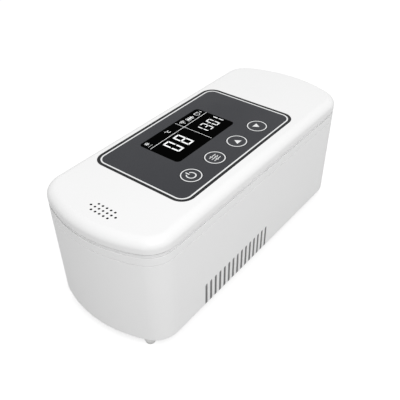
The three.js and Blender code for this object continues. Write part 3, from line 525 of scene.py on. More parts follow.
# Zinc-plated steel, rolled and tumbled: bright and slightly blue, with a fine even grain
plated_steel = metal(
    "zinc_plated_steel", "#C4C7CB", "#B2B5BA", 0.28, 0.4, (1.0, 1.0, 1.0), 0.004
)

screw_profile = [
    (head_radius - head_height / 2, head_bottom),
    (head_radius - head_height / 5, head_bottom + head_height / 6),
    (head_radius, head_bottom + head_height / 2),
    (head_radius, head_bottom + head_height),
    (shank_radius, head_bottom + head_height),
    (shank_radius, screw_tip),
]
for name, place in zip(corner_names, screw_places):
    screw = solid("cross_head_screw_" + name, turned(screw_profile, *place, 32))
    for size in ((cross_length, cross_width), (cross_width, cross_length)):
        carve(screw, block(*size, head_bottom - past, head_bottom + cross_depth, *place))
    dress(screw, plated_steel, "base", ["case_screw_" + name])

# Top frame
# The band between the shell and the lid: white ABS, one moulding with the land round the
# chamber, the seat of the seal and, at the rear, the frame's half of the two hinges.

post_bottom, land_top = heights("top_frame")
frame_bottom = shell_top + seam_gap
band_rise = 5.35
band_top = shell_top + band_rise
band_round = 0.12
# The groove under the lid is a V: in and down from the band's round edge, out and up to the land
groove_depth = 0.85
groove_inset = 1.0
groove_floor = 0.1
land_inset = 0.55
deck_under = land_top - 2.2
cold_rim = 3.6
chamber_size = 2 * (reach("cold_box")[1][:2] - cold_rim)
chamber_corner = 8
collar_bottom = land_top - 4.2
collar_reach = 5.5
gasket_land = 4
gasket_seat = land_top - 1.5
hinge_x, hinge_y, hinge_z = middle("hinge_pin_right")
barrel_radius = 2.4
hinge_bore_radius = 1.15
frame_knuckle = 7
lid_knuckle = 12
knuckle_gap = 0.3
pocket_half = lid_knuckle / 2 + knuckle_gap
station_half = pocket_half + frame_knuckle
pocket_back = hinge_y - barrel_radius - knuckle_gap
pocket_bottom = hinge_z - barrel_radius - 0.8
pocket_wall = 1.2
hinge_block_top = land_top - 0.5
frame_boss_radius = 3.2
cup_radius = 4.8
cup_bore_radius = 3.8
cup_bottom = deck_under - 2.9
post_top = deck_under + 1
both = np.array([-1, 1])
# Keeps two faces from lying in one plane
hair = 0.01


def chamber_outline(inset):
    """The mouth of the chamber pulled in by an inset, or let out by a negative one."""
    return round_rectangle(*(chamber_size - 2 * inset), chamber_corner - inset, steps=13)


def rod_along_x(radius, length, x, y, z, steps=40):
    """A round rod along X, centred on x."""
    return bar_along_x(circle(radius, y, z, steps), x - length / 2, x + length / 2)


def hinge_rods(radius, length, steps=40):
    """A round rod on the axis of each hinge."""
    return [rod_along_x(radius, length, x, hinge_y, hinge_z, steps) for x in both * hinge_x]


def hinge_blocks(length, near, far, low, high):
    """A square-edged block at each hinge, from near to far along Y and from low to high."""
    return [block(length, far - near, low, high, x, (far + near) / 2) for x in both * hinge_x]


# The same ABS with a satin mould finish: wider, softer reflections and a finer grain
satin_white_abs = moulded_plastic(
    "satin_white_abs", "#F3F3F3", "#F1F1F1", 0.38, 0.43, 0.6, 0.003
)

frame_profile = [
    (shell_wall, deck_under),
    (shell_wall, frame_bottom),
    (rim_edge, frame_bottom),
    (0, frame_bottom + rim_edge),
    *round_edge(0, band_top, band_round, upper=True),
    (groove_inset - groove_floor, band_top - groove_depth),
    (groove_inset, band_top - groove_depth),
    (land_inset, land_top - rim_edge),
    (land_inset + rim_edge, land_top),
]
mouth_profile = [
    (0, frame_bottom - past),
    (0, gasket_seat),
    (-gasket_land, gasket_seat),
    (-gasket_land, land_top + past),
]
behind = side - hinge_y + past
top_frame = solid("frame_band_and_land", levels(case_outline, frame_profile))
carve(
    top_frame,
    plate(chamber_outline(-collar_reach), collar_bottom, land_top - hair),
    *hinge_blocks(
        2 * (station_half + pocket_wall),
        pocket_back - pocket_wall,
        side - land_inset,
        frame_bottom + hair,
        hinge_block_top,
    ),
    how="UNION",
)
carve(
    top_frame,
    levels(chamber_outline, mouth_profile),
    block(case_length, behind, band_top, land_top + past, 0, hinge_y + behind / 2),
)
carve(top_frame, *hinge_rods(barrel_radius, 2 * station_half), how="UNION")
carve(
    top_frame,
    *hinge_blocks(2 * pocket_half, pocket_back, side + past, pocket_bottom, land_top + past),
)
carve(top_frame, *hinge_rods(hinge_bore_radius, 2 * station_half + past, 24))
dress(top_frame, satin_white_abs, "base", ["top_frame"])
posts = [
    tube(frame_boss_radius, screw_hole_radius, post_bottom, post_top, *place)
    for place in screw_places
]
cups = [
    tube(cup_radius, cup_bore_radius, cup_bottom, post_top, *middle("base_magnet_" + name)[:2])
    for name in ("left", "right")
]
frame_bosses = solid("frame_bosses_and_magnet_cups", *posts, *cups)
dress(frame_bosses, satin_white_abs, "base")

# Cold box
# The chamber that is kept cold: aluminium sheet drawn to a tub with an out-turned rim, and
# anodised. Foam round it holds it, and its floor lies on the cooling tile.

cold_bottom, cold_top = heights("cold_box")
cold_wall = 1.2
cold_floor = cold_bottom + 1.5
rim_under = cold_top - cold_wall

# Anodised aluminium, drawn: pale grey with soft reflections, drawn lines 0.3 mm apart along X
anodised_aluminium = metal(
    "anodised_aluminium", "#E0E2E4", "#D6D8DB", 0.45, 0.3, (0.06, 1.0, 1.0), 0.006
)

# Up the outside, round the rim and down the inside, with the bends of the sheet between
cold_profile = [
    (1 - cold_wall, cold_bottom),
    (0.3 - cold_wall, cold_bottom + 0.3),
    (-cold_wall, cold_bottom + 1),
    (-cold_wall, rim_under),
    (0.2 - cold_rim, rim_under),
    (-cold_rim, cold_top - cold_wall / 2),
    (0.2 - cold_rim, cold_top),
    (-0.5, cold_top),
    (-0.15, cold_top - 0.15),
    (0, cold_top - 0.5),
    (0, cold_floor + 0.4),
    (0.4, cold_floor),
]
cold_box = solid("drawn_chamber_tub", levels(chamber_outline, cold_profile))
dress(cold_box, anodised_aluminium, "base", ["cold_box"])

# Pen tray
# The bed for two pens: dark closed-cell foam, milled with two round channels and a cross
# hollow for the fingers. It lies loose on the floor of the chamber.

tray_length, tray_width = size_of("pen_tray")[:2]
tray_bottom, tray_top = heights("pen_tray")
tray_inset = (chamber_size[0] - tray_length) / 2
tray_edge = 0.6
pen_radius = 9.2
pen_axis = tray_top + 1
scoop_length = 30
scoop_depth = 8
scoop_radius = ((scoop_length / 2) ** 2 + scoop_depth**2) / scoop_depth / 2
scoop_end = tray_width / 2 - cold_wall


def cells(place, size):
    """The distance to the middle of the nearest cell, in cells of a size in millimetres."""
    inputs = {"Vector": place, "Scale": per_metre(size)}
    return add(place, "TexVoronoi", inputs).outputs["Distance"]


def foam(name, light, dark, pore, depth):
    """Closed-cell foam: cells drawn by their distance to the nearest centre, darker and deeper
    between them, over a slow drift of colour."""
    made, shader, place = material(name, IOR=1.45, Roughness=0.92)
    pores = cells(place, pore)
    mixed = maths("MULTIPLY", pores, noise(place, 14, 4.0))
    tint(shader, between(mixed, 1, 0, 0, 0.5), dark, light)
    roughen(shader, between(pores, 1, 0, 0, 0.8), depth)
    return made


# EVA foam, milled: matt charcoal with cut cells about 0.7 mm across
dark_foam = foam("charcoal_eva_foam", "#5F6164", "#45474A", 0.7, 0.15)

pen_tray = solid(
    "milled_pen_tray",
    levels(
        lambda inset: chamber_outline(inset + tray_inset),
        eased(0, tray_bottom, tray_top, tray_edge),
    ),
)
carve(
    pen_tray,
    *[
        rod_along_x(pen_radius, tray_length - 2 * chamber_corner, 0, y, pen_axis, 72)
        for y in both * tray_width / 4
    ],
)
scoop = circle(scoop_radius, 0, tray_top - scoop_depth + scoop_radius, 96)
carve(pen_tray, bar_along_y(scoop, -scoop_end, scoop_end))
dress(pen_tray, dark_foam, "base", ["pen_tray"])

# Supply inlet
# The round socket for the supply plug, in the rear wall: black glass-filled nylon with a
# plated centre pin, soldered to a lead and held by a shelf of the shell.

inlet_length, _, inlet_height = size_of("supply_inlet")
housing_start, nose_end = [corner[1] for corner in reach("supply_inlet")]
housing_corner = 1.25
nose_radius = 3.9
nose_bore_radius = 2.8
nose_edge = 0.2
bore_edge = 0.3
pin_radius = 0.9
bore_end = nose_end - 9
housing_end = nose_end - shell_wall

# Glass-filled nylon, moulded: near black, satin, with a coarse flow grain of 0.5 mm
black_nylon = moulded_plastic(
    "black_glass_filled_nylon", "#1E1E20", "#161618", 0.42, 0.58, 0.5, 0.015
)


def rings_along_y(profile, x, z, steps=40):
    """A profile of (radius, y) turned about an axis along Y, from the face that looks along Y to
    the one that looks back."""
    return skin([np.insert(circle(r, x, z, steps), 1, y, axis=1) for r, y in profile])


housing = round_rectangle(inlet_length, inlet_height, housing_corner, battery_x, inlet_z)
nose_profile = [
    (nose_bore_radius, bore_end),
    (nose_bore_radius, nose_end - bore_edge),
    (nose_bore_radius + bore_edge, nose_end),
    (nose_radius - nose_edge, nose_end),
    (nose_radius, nose_end - nose_edge),
    (nose_radius, housing_end - 1),
]
pin_profile = [
    (pin_radius - 0.4, nose_end - past),
    (pin_radius, nose_end - past - 0.5),
    (pin_radius, bore_end - past),
]
inlet = solid(
    "inlet_housing_and_nose",
    bar_along_y(housing, housing_start, housing_end),
    rings_along_y(nose_profile, battery_x, inlet_z),
)
inlet_pin = solid("inlet_centre_pin", rings_along_y(pin_profile, battery_x, inlet_z, 24))
dress(inlet, black_nylon, "base", ["supply_inlet"])
dress(inlet_pin, plated_steel, "base")

# Cooler, battery and boards
# The inner works, which the closed case hides but for the fan behind its grille: insulation,
# cooling tile, heat sink, fan, two cells in their holder, and the boards with their parts.

key_names = ["power", "set", "up", "down"]


def coat(look, *names):
    """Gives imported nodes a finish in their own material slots."""
    for name in names:
        for place in frame["nodes"][name].material_slots:
            place.material = look


# EPP bead foam, steam moulded: off-white, with beads about 2.5 mm across pressed together
white_bead_foam = foam("white_epp_bead_foam", "#F3F1EA", "#E2DFD6", 2.5, 0.2)
coat(white_bead_foam, "insulation", "lid_foam")

# Extruded aluminium, left as it comes from the die: lines 0.4 mm apart along the fins
extruded_aluminium = metal(
    "extruded_aluminium", "#C9CBCE", "#B9BCC0", 0.42, 0.4, (1.0, 0.05, 1.0), 0.01
)
coat(extruded_aluminium, "heat_sink")

# Neodymium and hardened steel, nickel plated: a warmer, brighter metal than the screws
nickel_plate = metal("nickel_plate", "#D0CDC6", "#C1BEB7", 0.2, 0.5, (1.0, 1.0, 0.3), 0.003)
for part in ("base_magnet_", "lid_magnet_", "hinge_pin_"):
    coat(nickel_plate, part + "left", part + "right")

# Sintered bronze, oil soaked: dull gold with pores about 0.2 mm across
sintered_bronze = metal("sintered_bronze", "#B8985A", "#96783F", 0.5, 0.2, (1.0, 1.0, 1.0), 0.02)
coat(sintered_bronze, "fan_bearing")
coat(black_nylon, "fan_frame", "battery_holder", "temperature_sensor", "sounder")
coat(black_nylon, *["switch_" + name for name in key_names])

# PBT, moulded: the rotor's dark grey, a little smoother than its frame
grey_pbt = moulded_plastic("dark_grey_pbt", "#2B2B2E", "#222225", 0.38, 0.5, 0.6, 0.008)
coat(grey_pbt, "fan_rotor")

# Alumina, fired and lapped: chalk white with a faint speckle from its 0.3 mm grains
alumina = moulded_plastic("lapped_alumina", "#EFEDE8", "#DDDBD5", 0.5, 0.65, 0.3, 0.008)
coat(alumina, "cooling_tile")


def circuit_laminate():
    """Glass-epoxy board under solder mask: copper runs show as a paler green where two coarse
    brick patterns, one along X and one along Y, have their joints."""
    made, shader, place = material("green_solder_mask", IOR=1.5, Roughness=0.35)
    brick = {name: (0.0, 0.0, 0.0, 1.0) for name in ("Color1", "Color2")}
    brick |= {"Mortar": (1.0, 1.0, 1.0, 1.0), "Mortar Size": 0.025, "Scale": per_metre(12)}
    runs = []
    for angle, offset in ((0.0, 0.35), (np.pi / 2, 0.2)):
        flat = {"Vector": place, "Scale": (1.0, 1.0, 0.0), "Rotation": (0.0, 0.0, angle)}
        brick["Vector"] = add(place, "Mapping", flat).outputs["Vector"]
        laid = add(place, "TexBrick", brick, offset=offset, squash=0.6)
        runs.append(laid.outputs["Color"])
    either = maths("MAXIMUM", *runs)
    tint(shader, either, "#1C5537", "#2F7A50")
    roughen(shader, either, 0.035)
    return made


coat(circuit_laminate(), "control_board", "display_board")


def shrink_sleeve():
    """PVC sleeve shrunk on a cell: blue with two paler bands, and a bare steel shade at the ends
    of the cell, set by how far along X the point lies."""
    made, shader, place = material("blue_pvc_sleeve", IOR=1.52, Roughness=0.3)
    apart = add(place, "SeparateXYZ", {"Vector": place})
    low, high = reach("cell_front")
    along = between(apart.outputs["X"], 0, 1, low[0] * 0.001, high[0] * 0.001)
    bands = add(along, "ValToRGB", {"Fac": along})
    steel, blue, pale = "#B4B7BB", "#2B5796", "#C9D4E4"
    stops = [(0.02, blue), (0.12, pale), (0.14, blue), (0.86, pale), (0.88, blue), (0.975, steel)]
    ramp = bands.color_ramp
    ramp.interpolation = "CONSTANT"
    ramp.elements.remove(ramp.elements[1])
    ramp.elements[0].color = colour(steel)
    for position, code in stops:
        ramp.elements.new(position).color = colour(code)
    wire(bands.outputs["Color"], shader, "Base Color")
    roughen(shader, noise(place, 5, 2.0), 0.05)
    return made


coat(shrink_sleeve(), "cell_front", "cell_rear")

# Lid cover
# The white shell of the lid: glossy ABS, one moulding with a broad rounded edge, a shallow bed
# for the panel and, at the near end, three rows of holes over the sounder.

lid_bottom, lid_top = heights("lid_cover")
lid_edge_reach = 5.5
lid_edge_drop = 5.2
lid_edge_power = 1.12
lid_lower_round = 0.4
lid_deck = lid_top - 2.6
lid_deck_inset = 4.2
panel_bottom = heights("lid_panel")[0]
panel_size = size_of("lid_panel")[:2]
panel_place = middle("lid_panel")[:2]
panel_corner = 8.3
panel_gap = 0.25
panel_bed = panel_bottom - 0.3
window_low, window_high = reach("display_window")
window_size = size_of("display_window")[:2]
window_place = middle("display_window")[:2]
window_corner = 2.5
window_corner_least = 0.8
window_ledge = 2.4
key_places = [middle("key_" + name)[:2] for name in key_names]
key_radius = 6.6
key_hole_radius = key_radius + panel_gap
sounder_x, sounder_y = middle("sounder")[:2]
sound_hole_radius = 0.75
sound_row_pitch = 2.85
sound_hole_pitch = 3
# The rows of sound holes from left to right, each with its count
sound_rows = [(-1, 5), (0, 7), (1, 5)]
through_lid = (lid_deck - past, lid_top + past)

edge_turn = np.linspace(0, np.pi / 2, 17)
lid_profile = [
    (lid_deck_inset, lid_deck),
    (shell_wall, lid_bottom + 3),
    (shell_wall, lid_bottom),
    *round_edge(0, lid_bottom, lid_lower_round),
    *zip(
        lid_edge_reach * (1 - np.cos(edge_turn) ** lid_edge_power),
        lid_top - lid_edge_drop * (1 - np.sin(edge_turn) ** lid_edge_power),
    ),
]
lid_cover = solid("lid_moulding", levels(case_outline, lid_profile))


def panel_outline(inset):
    """The panel's outline pulled in by an inset, or let out by a negative one."""
    return round_rectangle(*(panel_size - 2 * inset), panel_corner - inset, *panel_place, 15)


def window_outline(inset):
    """The display window's outline pulled in by an inset, its corners never sharper than the
    least radius."""
    corner = max(window_corner - inset, window_corner_least)
    return round_rectangle(*(window_size - 2 * inset), corner, *window_place)


sound_places = [
    (sounder_x + row * sound_row_pitch, sounder_y + (i - (count - 1) / 2) * sound_hole_pitch)
    for row, count in sound_rows
    for i in range(count)
]
carve(
    lid_cover,
    plate(panel_outline(-panel_gap), panel_bed, lid_top + past),
    *holes(sound_places, sound_hole_radius, *through_lid, 16),
)
carve(
    lid_cover,
    plate(window_outline(window_ledge), *through_lid),
    *holes(key_places, key_hole_radius, *through_lid),
)
dress(lid_cover, glossy_white_abs, "lid", ["lid_cover"])

mesh_top = lid_top - 0.08
mesh_thickness = 0.15
mesh_margin = 0.02


def woven_mesh(name, thread, gap_hex, thread_hex):
    """Woven mesh: threads cross at right angles where two sine waves, one along X and one along Z,
    are high, and the gaps between them are darker and lower. A wave turns by the place over the
    thread size, as the texture takes 20 radians to a unit, so threads lie 2 pi sizes apart."""
    made, shader, place = material(name, IOR=1.5, Roughness=0.8, Specular_IOR_Level=0.1)
    inputs = {"Vector": place, "Scale": per_metre(thread) / 20}
    waves = [add(place, "TexWave", inputs, bands_direction=way) for way in ("X", "Z")]
    crossed = maths("MAXIMUM", *[wave.outputs["Fac"] for wave in waves])
    tint(shader, crossed, gap_hex, thread_hex)
    roughen(shader, crossed, 0.05)
    return made


# Acoustic mesh moulded into the holes: black nylon, its weave drawn coarse, 1.9 mm apart. Its near
# black, darker than the other black nylon, is also painted shade: a dark disc just under the
# surface darkens each hole as its shade would.
mesh_and_hole_shade = woven_mesh("black_acoustic_mesh_and_hole_shade", 0.3, "#070708", "#121213")
mesh_discs = holes(
    sound_places, sound_hole_radius - mesh_margin, mesh_top - mesh_thickness, mesh_top, 16
)
dress(solid("sound_hole_mesh_and_shade", *mesh_discs), mesh_and_hole_shade, "lid")

# Slot shade screens
# A strip drawn as grey woven nylon in each slot of the shell, just behind its face. This is painted
# shade:
# a grey sheet that darkens each slot where the shade inside it would fall.

screen_y = side - shell_draft - 0.2
screen_thickness = 0.2
screen_margin = 0.03
screen_foot = shell_bottom + 0.2

# Painted shade for the slots: a mid grey, matt woven sheet, its threads drawn coarse, 2.5 mm apart
slot_shade_mesh = woven_mesh("grey_slot_shade_mesh", 0.4, "#69696A", "#858586")
for name, y in (("front", -screen_y), ("rear", screen_y - screen_thickness)):
    strips = [
        bar_along_y(vent_outline(x, screen_foot, screen_margin), y, y + screen_thickness)
        for x in vent_x
    ]
    dress(solid("slot_shade_screen_" + name, *strips), slot_shade_mesh, "base")

# Panel
# A dark grey film on the lid: polycarbonate sheet printed from behind, with a velvet face. A
# black line and a white line run round it, and the display and the keys show through it.

film_hexes = ("#36373B", "#343539")
film_top = lid_top - 0.08
film_round = 0.12
film_reach = 0.2
ink_sink = 0.01
ink_bottom = film_top - ink_sink
ink_top = film_top + 0.03
white_line_outer = 1.8
white_line_inner = white_line_outer + 0.95
black_line_inner = white_line_outer + 0.05
through_panel = (panel_bottom - past, lid_top + past)


def printed_film(name, light, dark):
    """Velvet polycarbonate film: matt, with the fine even grain of its face drawn at 0.35 mm,
    and a slow drift of colour and roughness."""
    made, shader, place = material(name, IOR=1.58, Specular_IOR_Level=0.15)
    drift = noise(place, 30, 2.0)
    tint(shader, drift, dark, light)
    scuff(shader, drift, 0.46, 0.56)
    roughen(shader, noise(place, 0.35, 2.0), 0.008)
    return made


def screen_ink(name, light, dark):
    """Screen-printed ink: even and satin, with the weave of the screen as a faint bump 0.3 mm
    apart."""
    made, shader, place = material(name, IOR=1.5, Roughness=0.5, Specular_IOR_Level=0.2)
    tint(shader, noise(place, 8, 2.0), dark, light)
    roughen(shader, noise(place, 0.3, 1.0), 0.003)
    return made


# Velvet polycarbonate: dark neutral grey, soft grey sheen at a low angle
grey_film = printed_film("velvet_polycarbonate_film", *film_hexes)
# Screen inks: a soft black for the outer line, a clean white for lines, rings and marks
black_ink = screen_ink("black_screen_ink", "#18191B", "#161719")
white_ink = screen_ink("white_screen_ink", "#F0F1F1", "#E9EAEA")

film_profile = eased(-film_reach, panel_bottom, film_top, film_round)
panel_film = solid("panel_film", levels(panel_outline, film_profile))
carve(
    panel_film,
    plate(window_outline(-panel_gap), *through_panel),
    *holes(key_places, key_hole_radius, *through_panel),
)
dress(panel_film, grey_film, "lid", ["lid_panel"])


def line_round(outer, inner, top):
    """A line printed round the panel: the band between two insets of its outline, up to a top."""
    profile = [(outer, ink_bottom), (outer, top), (inner, top), (inner, ink_bottom)]
    return levels(panel_outline, profile, joined=True)


black_line = line_round(film_round - film_reach, black_line_inner, ink_top - hair)
white_line = line_round(white_line_outer, white_line_inner, ink_top)
dress(solid("panel_black_line", black_line), black_ink, "lid")
dress(solid("panel_white_line", white_line), white_ink, "lid")

# Display
# A black window over a module whose lit characters show white: hard-coated acrylic, flush with
# the film. The case shows its temperature at the left, and the time and its state at the right.

glass_top = film_top + 0.02
character_top = glass_top + 0.02
divider_y = 16.6
divider_x = -1.4
divider_width = 0.28
divider_end = 0.9


def screen_glass():
    """Hard-coated acrylic, black behind: almost a mirror, with faint wipe marks in its gloss."""
    name = "hard_coated_black_acrylic"
    made, shader, place = material(name, IOR=1.49, Specular_IOR_Level=0.002)
    smear = noise(place, 10, 5.0)
    tint(shader, smear, "#020202", "#040404")
    scuff(shader, smear, 0.1, 0.2, 0.35)
    roughen(shader, smear, 0.004)
    return made


def lit_segment():
    """A lit part of the display: white light of its own over a white face, in cells of 0.25 mm
    that are a little dimmer where they meet."""
    made, shader, place = material(
        "lit_display_segment", Roughness=0.5, Emission_Strength=0.25
    )
    white = blend(cells(place, 0.25), "#FAFBFB", "#EDEFEF")
    wire(white, shader, "Base Color")
    wire(white, shader, "Emission Color")
    return made


window_profile = eased(0, window_low[2], glass_top, film_round)
window = solid("display_glass", levels(window_outline, window_profile))
dress(window, screen_glass(), "lid", ["display_window"])


def mark(outline, low=glass_top - ink_sink, high=character_top):
    """A flat mark: an outline in X and Y between two heights, turned anticlockwise if its signed
    area is negative."""
    outline = np.asarray(outline, float)
    following = np.roll(outline, -1, 0)
    area = np.sum(outline[:, 0] * following[:, 1] - following[:, 0] * outline[:, 1])
    return plate(outline if area > 0 else outline[::-1], low, high)


def stroke(start, end, width, point=0.0):
    """A straight stroke: a bar of that width from start to end, each end drawn to a point that
    reaches in by a share of the width."""
    start, end = np.array(start, float), np.array(end, float)
    along = (end - start) / np.linalg.norm(end - start)
    across = np.array([-along[1], along[0]]) * width / 2
    cut = along * width * point
    near, far = start + cut, end - cut
    return np.array([start, near - across, far - across, end, far + across, near + across])


def bow(x, y, radius, width, start=0, end=359.9, steps=24):
    """Part of a ring, or all but a hair of it: an outer arc and back along an inner one, angles
    in degrees."""
    start, end = np.radians([start, end])
    outer = arc(x, y, radius + width / 2, start, end, steps)
    inner = arc(x, y, radius - width / 2, end, start, steps)
    return np.concatenate([outer, inner])


segment_gap = 0.24
lit_by_digit = {"0": "abcdef", "1": "bc", "3": "abcdg", "8": "abcdefg"}


def digit(figure, x, y, width, height, weight):
    """A seven-segment digit in a box whose lower left corner is at x and y. Each outer segment is
    a trapezoid whose long side lies on the box, and the middle one has a point at each end."""
    gap, half = segment_gap, weight / 2
    right, top, mid = x + width, y + height, y + height / 2
    low_in, high_in = y + weight, top - weight
    left_in, right_in = x + weight, right - weight
    across = [x + gap, right - gap, right_in - gap, left_in + gap]
    near, far = [x, x, left_in, left_in], [right, right, right_in, right_in]
    upper = [top - gap, mid + gap, mid + half + gap, high_in - gap]
    lower = [mid - gap, y + gap, low_in + gap, mid - half - gap]
    forms = {
        "a": np.transpose([across, [top, top, high_in, high_in]]),
        "b": np.transpose([far, upper]),
        "c": np.transpose([far, lower]),
        "d": np.transpose([across, [y, y, low_in, low_in]]),
        "e": np.transpose([near, lower]),
        "f": np.transpose([near, upper]),
        "g": stroke((x + half + gap, mid), (right - half - gap, mid), weight, 0.5),
    }
    return [forms[name] for name in lit_by_digit[figure]]


def snowflake(x, y, span, width):
    """Three bars crossed at the middle, with a small chevron halfway out along each arm."""
    arms = []
    for angle in np.radians(np.arange(6) * 60 + 30):
        way = np.array([np.cos(angle), np.sin(angle)])
        crossways = np.array([-way[1], way[0]])
        root = np.array([x, y]) + way * span * 0.5
        arms.append(stroke((x, y), (x, y) + way * span, width, 0.1))
        arms += [
            stroke(root, root + (way + crossways * s) * span * 0.28, width * 0.8, 0.1)
            for s in (-1, 1)
        ]
    return arms


# The characters, by their places on the window as the photo shows them
divider_ends = (window_low[0] + divider_end, window_high[0] + 0.05 - film_round)
dividers = [
    stroke(*[(x, divider_y) for x in divider_ends], divider_width),
    stroke(
        (divider_x, window_low[1] + divider_end * 0.7),
        (divider_x, window_high[1] - divider_end),
        divider_width * 0.8,
    ),
]
temperature = [
    outline
    for figure, x, width in (("0", -25.5, 5.5), ("8", -16.2, 5.7))
    for outline in digit(figure, x, 1.15, width, 12.8, 1.12)
]
clock = [
    outline
    for figure, x, width in (("1", 0.5, 4), ("3", 6, 3.8), ("0", 12.4, 4), ("1", 16.6, 4))
    for outline in digit(figure, x, 1.2, width, 9, 0.74)
]
colon = [circle(0.25, 11.2, y, 12) for y in (4, 7.3)]
degree_sign = [bow(-13.5, 22.1, 0.4, 0.2), bow(-11.5, 20.8, 1.05, 0.36, 50, 310)]
reception = [bow(2.5, 19.1, radius, 0.36, 50, 130) for radius in (1.3, 2.3, 3.3)]
reception.append(circle(0.35, 2.5, 19.1, 12))
charge = [
    *[stroke((6.2, y), (11.6, y), 0.2) for y in (18.8, 21.8)],
    *[stroke((x, 18.7), (x, 21.9), 0.2) for x in (6.3, 11.5)],
    stroke((12.1, 19.6), (12.1, 21), 0.4),
    *[stroke((x, 20.3), (x + 1, 20.3), 1.6) for x in (6.9, 8.4, 9.9)],
]
alarm = [
    bow(16.6, 20.2, 1.75, 0.28),
    stroke((16.6, 20.1), (16.6, 21.2), 0.2),
    stroke((14.5, 21.4), (15.4, 22.3), 0.3),
    stroke((17.8, 22.3), (18.7, 21.4), 0.3),
]
supply = [[(20.8, 22), (19.7, 20.1), (20.3, 20.1), (19.9, 18.7), (21, 20.5), (20.4, 20.5)]]
steps = [stroke((x, 18.9), (x + 0.6, 18.9), 0.24) for x in (-32.8, -31.7, -30.6, -29.5)]
signs = degree_sign + reception + charge + alarm + supply + snowflake(-30.6, 22, 1.65, 0.2) + steps
lit = [mark(outline) for outline in dividers + temperature + clock + colon + signs]
dress(solid("display_characters", *lit), lit_segment(), "lid")

# Keys
# Four round keys flush with the film, each a cap with a flange that the lid holds captive over
# its switch: ABS under the same velvet film, with a printed white ring and mark.

key_low = heights("key_power")[0]
key_flange_radius = 7.8
key_flange_top = key_low + 0.8
ring_radius = 6.0
ring_width = 0.62

# The film on the keys: a material of its own, because the caps are parts of their own
key_film = printed_film("velvet_key_film", *film_hexes)


def key_marks(name, x, y):
    """The mark inside a key's ring: a broken ring and a bar for power, three sliders for the
    settings, and a triangle up or down."""
    if name == "power":
        bar = stroke((x, y + 1.3), (x, y + 4.1), 0.78, 0.1)
        return [bow(x, y, 2.7, 0.72, 118, 422, 40), bar]
    if name == "set":
        marks = []
        for row, knob in ((1.9, -1.1), (0, 1.3), (-1.9, -0.3)):
            marks += [
                stroke((x - 3, y + row), (x + 3, y + row), 0.5, 0.1),
                stroke((x + knob, y + row - 0.85), (x + knob, y + row + 0.85), 1.0, 0.1),
            ]
        return marks
    way = 1 if name == "up" else -1
    return [[(x - 2.35, y - 1.98 * way), (x + 2.35, y - 1.98 * way), (x, y + 1.85 * way)]]


cap_profile = [
    (key_flange_radius, key_low),
    (key_flange_radius, key_flange_top),
    *[(key_radius - inset, z) for inset, z in eased(0, key_flange_top, film_top, film_round)],
]
ring_radii = (ring_radius + ring_width / 2, ring_radius - ring_width / 2)
for name, place in zip(key_names, key_places):
    cap = solid("key_cap_" + name, turned(cap_profile, *place, 64))
    ring = tube(*ring_radii, ink_bottom, ink_top, *place, 64)
    marks = [mark(outline, ink_bottom, ink_top) for outline in key_marks(name, *place)]
    printed = solid("key_print_" + name, ring, *marks)
    dress(cap, key_film, "key_" + name, ["key_" + name])
    dress(printed, white_ink, "key_" + name)

# Liner and seal
# What the open lid shows: a satin white ABS plate with a hollow plug that holds foam over the
# chamber, the lid's half of the hinges, and a soft grey silicone seal round the plug.

plug_low = heights("lid_liner")[0]
liner_inset = shell_wall + 0.3
liner_bottom = lid_bottom - 0.4
liner_top = liner_bottom + 1.6
plug_gap = 0.8
plug_round = 1.2
# The plug and the hinge arms run this high into the plate
root = liner_bottom + 0.8
seal_half_width = 1.3
seal_half_height = size_of("lid_gasket")[2] / 2
seal_inner = 0.5

liner_profile = [
    (liner_inset + rim_edge, liner_bottom),
    (liner_inset, liner_bottom + rim_edge),
    (liner_inset, liner_top),
]
plug_profile = [*round_edge(plug_gap, plug_low, plug_round), (plug_gap, root)]
lid_liner = solid("liner_plate", levels(case_outline, liner_profile))
carve(
    lid_liner,
    levels(chamber_outline, plug_profile),
    *hinge_blocks(lid_knuckle, hinge_y - barrel_radius, side - liner_inset, hinge_z, root),
    how="UNION",
)
carve(lid_liner, *hinge_rods(barrel_radius, lid_knuckle), how="UNION")
carve(lid_liner, *hinge_rods(hinge_bore_radius, lid_knuckle + past, 24))
dress(lid_liner, satin_white_abs, "lid", ["lid_liner"])

# Silicone, moulded: pale grey and soft, with a faint bloom
silicone = rubber("grey_silicone", "#C6C7C8", "#BABBBC", 0.8)
# The seal's section is round, with its top and bottom pressed flat
seal_turn = np.linspace(0, 2 * np.pi, 17)[:-1]
seal_profile = zip(
    seal_inner - seal_half_width - seal_half_width * np.cos(seal_turn + np.pi),
    middle("lid_gasket")[2] + seal_half_height * np.clip(np.sin(seal_turn) * 1.3, -1, 1),
)
seal = solid("lid_seal", levels(chamber_outline, seal_profile, joined=True))
dress(seal, silicone, "lid", ["lid_gasket"])

# The display module shows only round the window's edge: a nickel-plated frame
coat(nickel_plate, "display_module")

# Studio
# A pale floor that runs out of sight, a bright even room and one broad lamp high at the front
# left, and a camera that looks down on the near corner.

floor_reach = 3
room_light = 0.775
paper_glow = 0.68
paper_sheen = 0.25


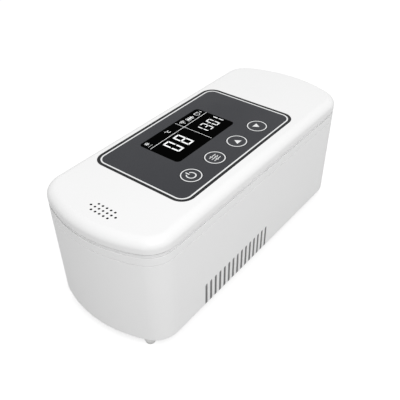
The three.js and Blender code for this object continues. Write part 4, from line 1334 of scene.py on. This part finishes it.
def paper_floor():
    """Matt white paper with a faint tooth. To the camera it gives a light of its own, and to
    glossy surfaces a weaker one, so that it meets the white room and still takes a shadow. From
    below it is clear."""
    made, shader, place = material(
        "white_paper", Roughness=0.95, Specular_IOR_Level=0.0, Emission_Color=(1.0, 1.0, 1.0, 1.0)
    )
    tint(shader, noise(place, 1.5, 3.0), "#AEAEAE", "#B4B4B4")
    ray = add(place, "LightPath", {}).outputs
    sheen = maths("MULTIPLY", ray["Is Glossy Ray"], paper_sheen)
    glow = maths("MULTIPLY_ADD", ray["Is Camera Ray"], paper_glow, sheen)
    wire(glow, shader, "Emission Strength")
    under = add(place, "NewGeometry", {}).outputs["Backfacing"]
    clear = add(place, "BsdfTransparent", {}).outputs["BSDF"]
    seen = add(place, "MixShader", {0: under, 1: shader.outputs["BSDF"], 2: clear})
    wire(seen.outputs["Shader"], made.node_tree.nodes["Material Output"], "Surface")
    return made


floor_corners = np.insert(corners * floor_reach * 1000.0, 2, 0.0, axis=1)
floor = solid("floor", (floor_corners, [[0, 1, 2, 3]]))
floor.data.materials.append(paper_floor())

world = bpy.data.worlds.new("bright_room")
world.use_nodes = True
room = world.node_tree
kinds = add(room, "LightPath", {}).outputs
straight = maths("MAXIMUM", kinds["Is Camera Ray"], kinds["Is Glossy Ray"])
straight = maths("MAXIMUM", straight, kinds["Is Transmission Ray"])
backdrop = room.nodes["Background"]
wire(between(straight, room_light, 1.0), backdrop, "Strength")
backdrop.inputs["Color"].default_value = (1.0, 1.0, 1.0, 1.0)
bpy.context.scene.world = world

light = bpy.data.lights.new("overhead_lamp", "AREA")
light.energy = 2.7
light.size = 0.6
lamp = bpy.data.objects.new("overhead_lamp", light)
lamp.location = (-0.3, -0.5, 0.68)
aim = Vector((0.0, 0.0, 0.05))
lamp.rotation_euler = (aim - lamp.location).to_track_quat("-Z", "Y").to_euler()
bpy.context.scene.collection.objects.link(lamp)

# The camera's place and aim, fitted to the outline of the case in the photo
target = Vector((-0.01588, -0.00687, 0.042))
azimuth, elevation, roll = np.radians([-51.74, 38.30, -0.74])
distance = 0.35632
outwards = np.cos(elevation)
back = Vector((np.sin(azimuth) * outwards, -np.cos(azimuth) * outwards, np.sin(elevation)))
level_right = (-back).cross(Vector((0, 0, 1))).normalized()
level_up = level_right.cross(-back)
right = level_right * np.cos(roll) + level_up * np.sin(roll)
up = level_up * np.cos(roll) - level_right * np.sin(roll)
axes = Matrix((right, up, back)).transposed().to_4x4()
lens = bpy.data.cameras.new("product_lens")
lens.lens = 50
lens.sensor_width = 36
lens.clip_start = 0.01
camera = bpy.data.objects.new("product_camera", lens)
camera.matrix_world = Matrix.Translation(target + back * distance) @ axes
bpy.context.scene.collection.objects.link(camera)
bpy.context.scene.camera = camera
bpy.context.scene.view_settings.view_transform = "Standard"
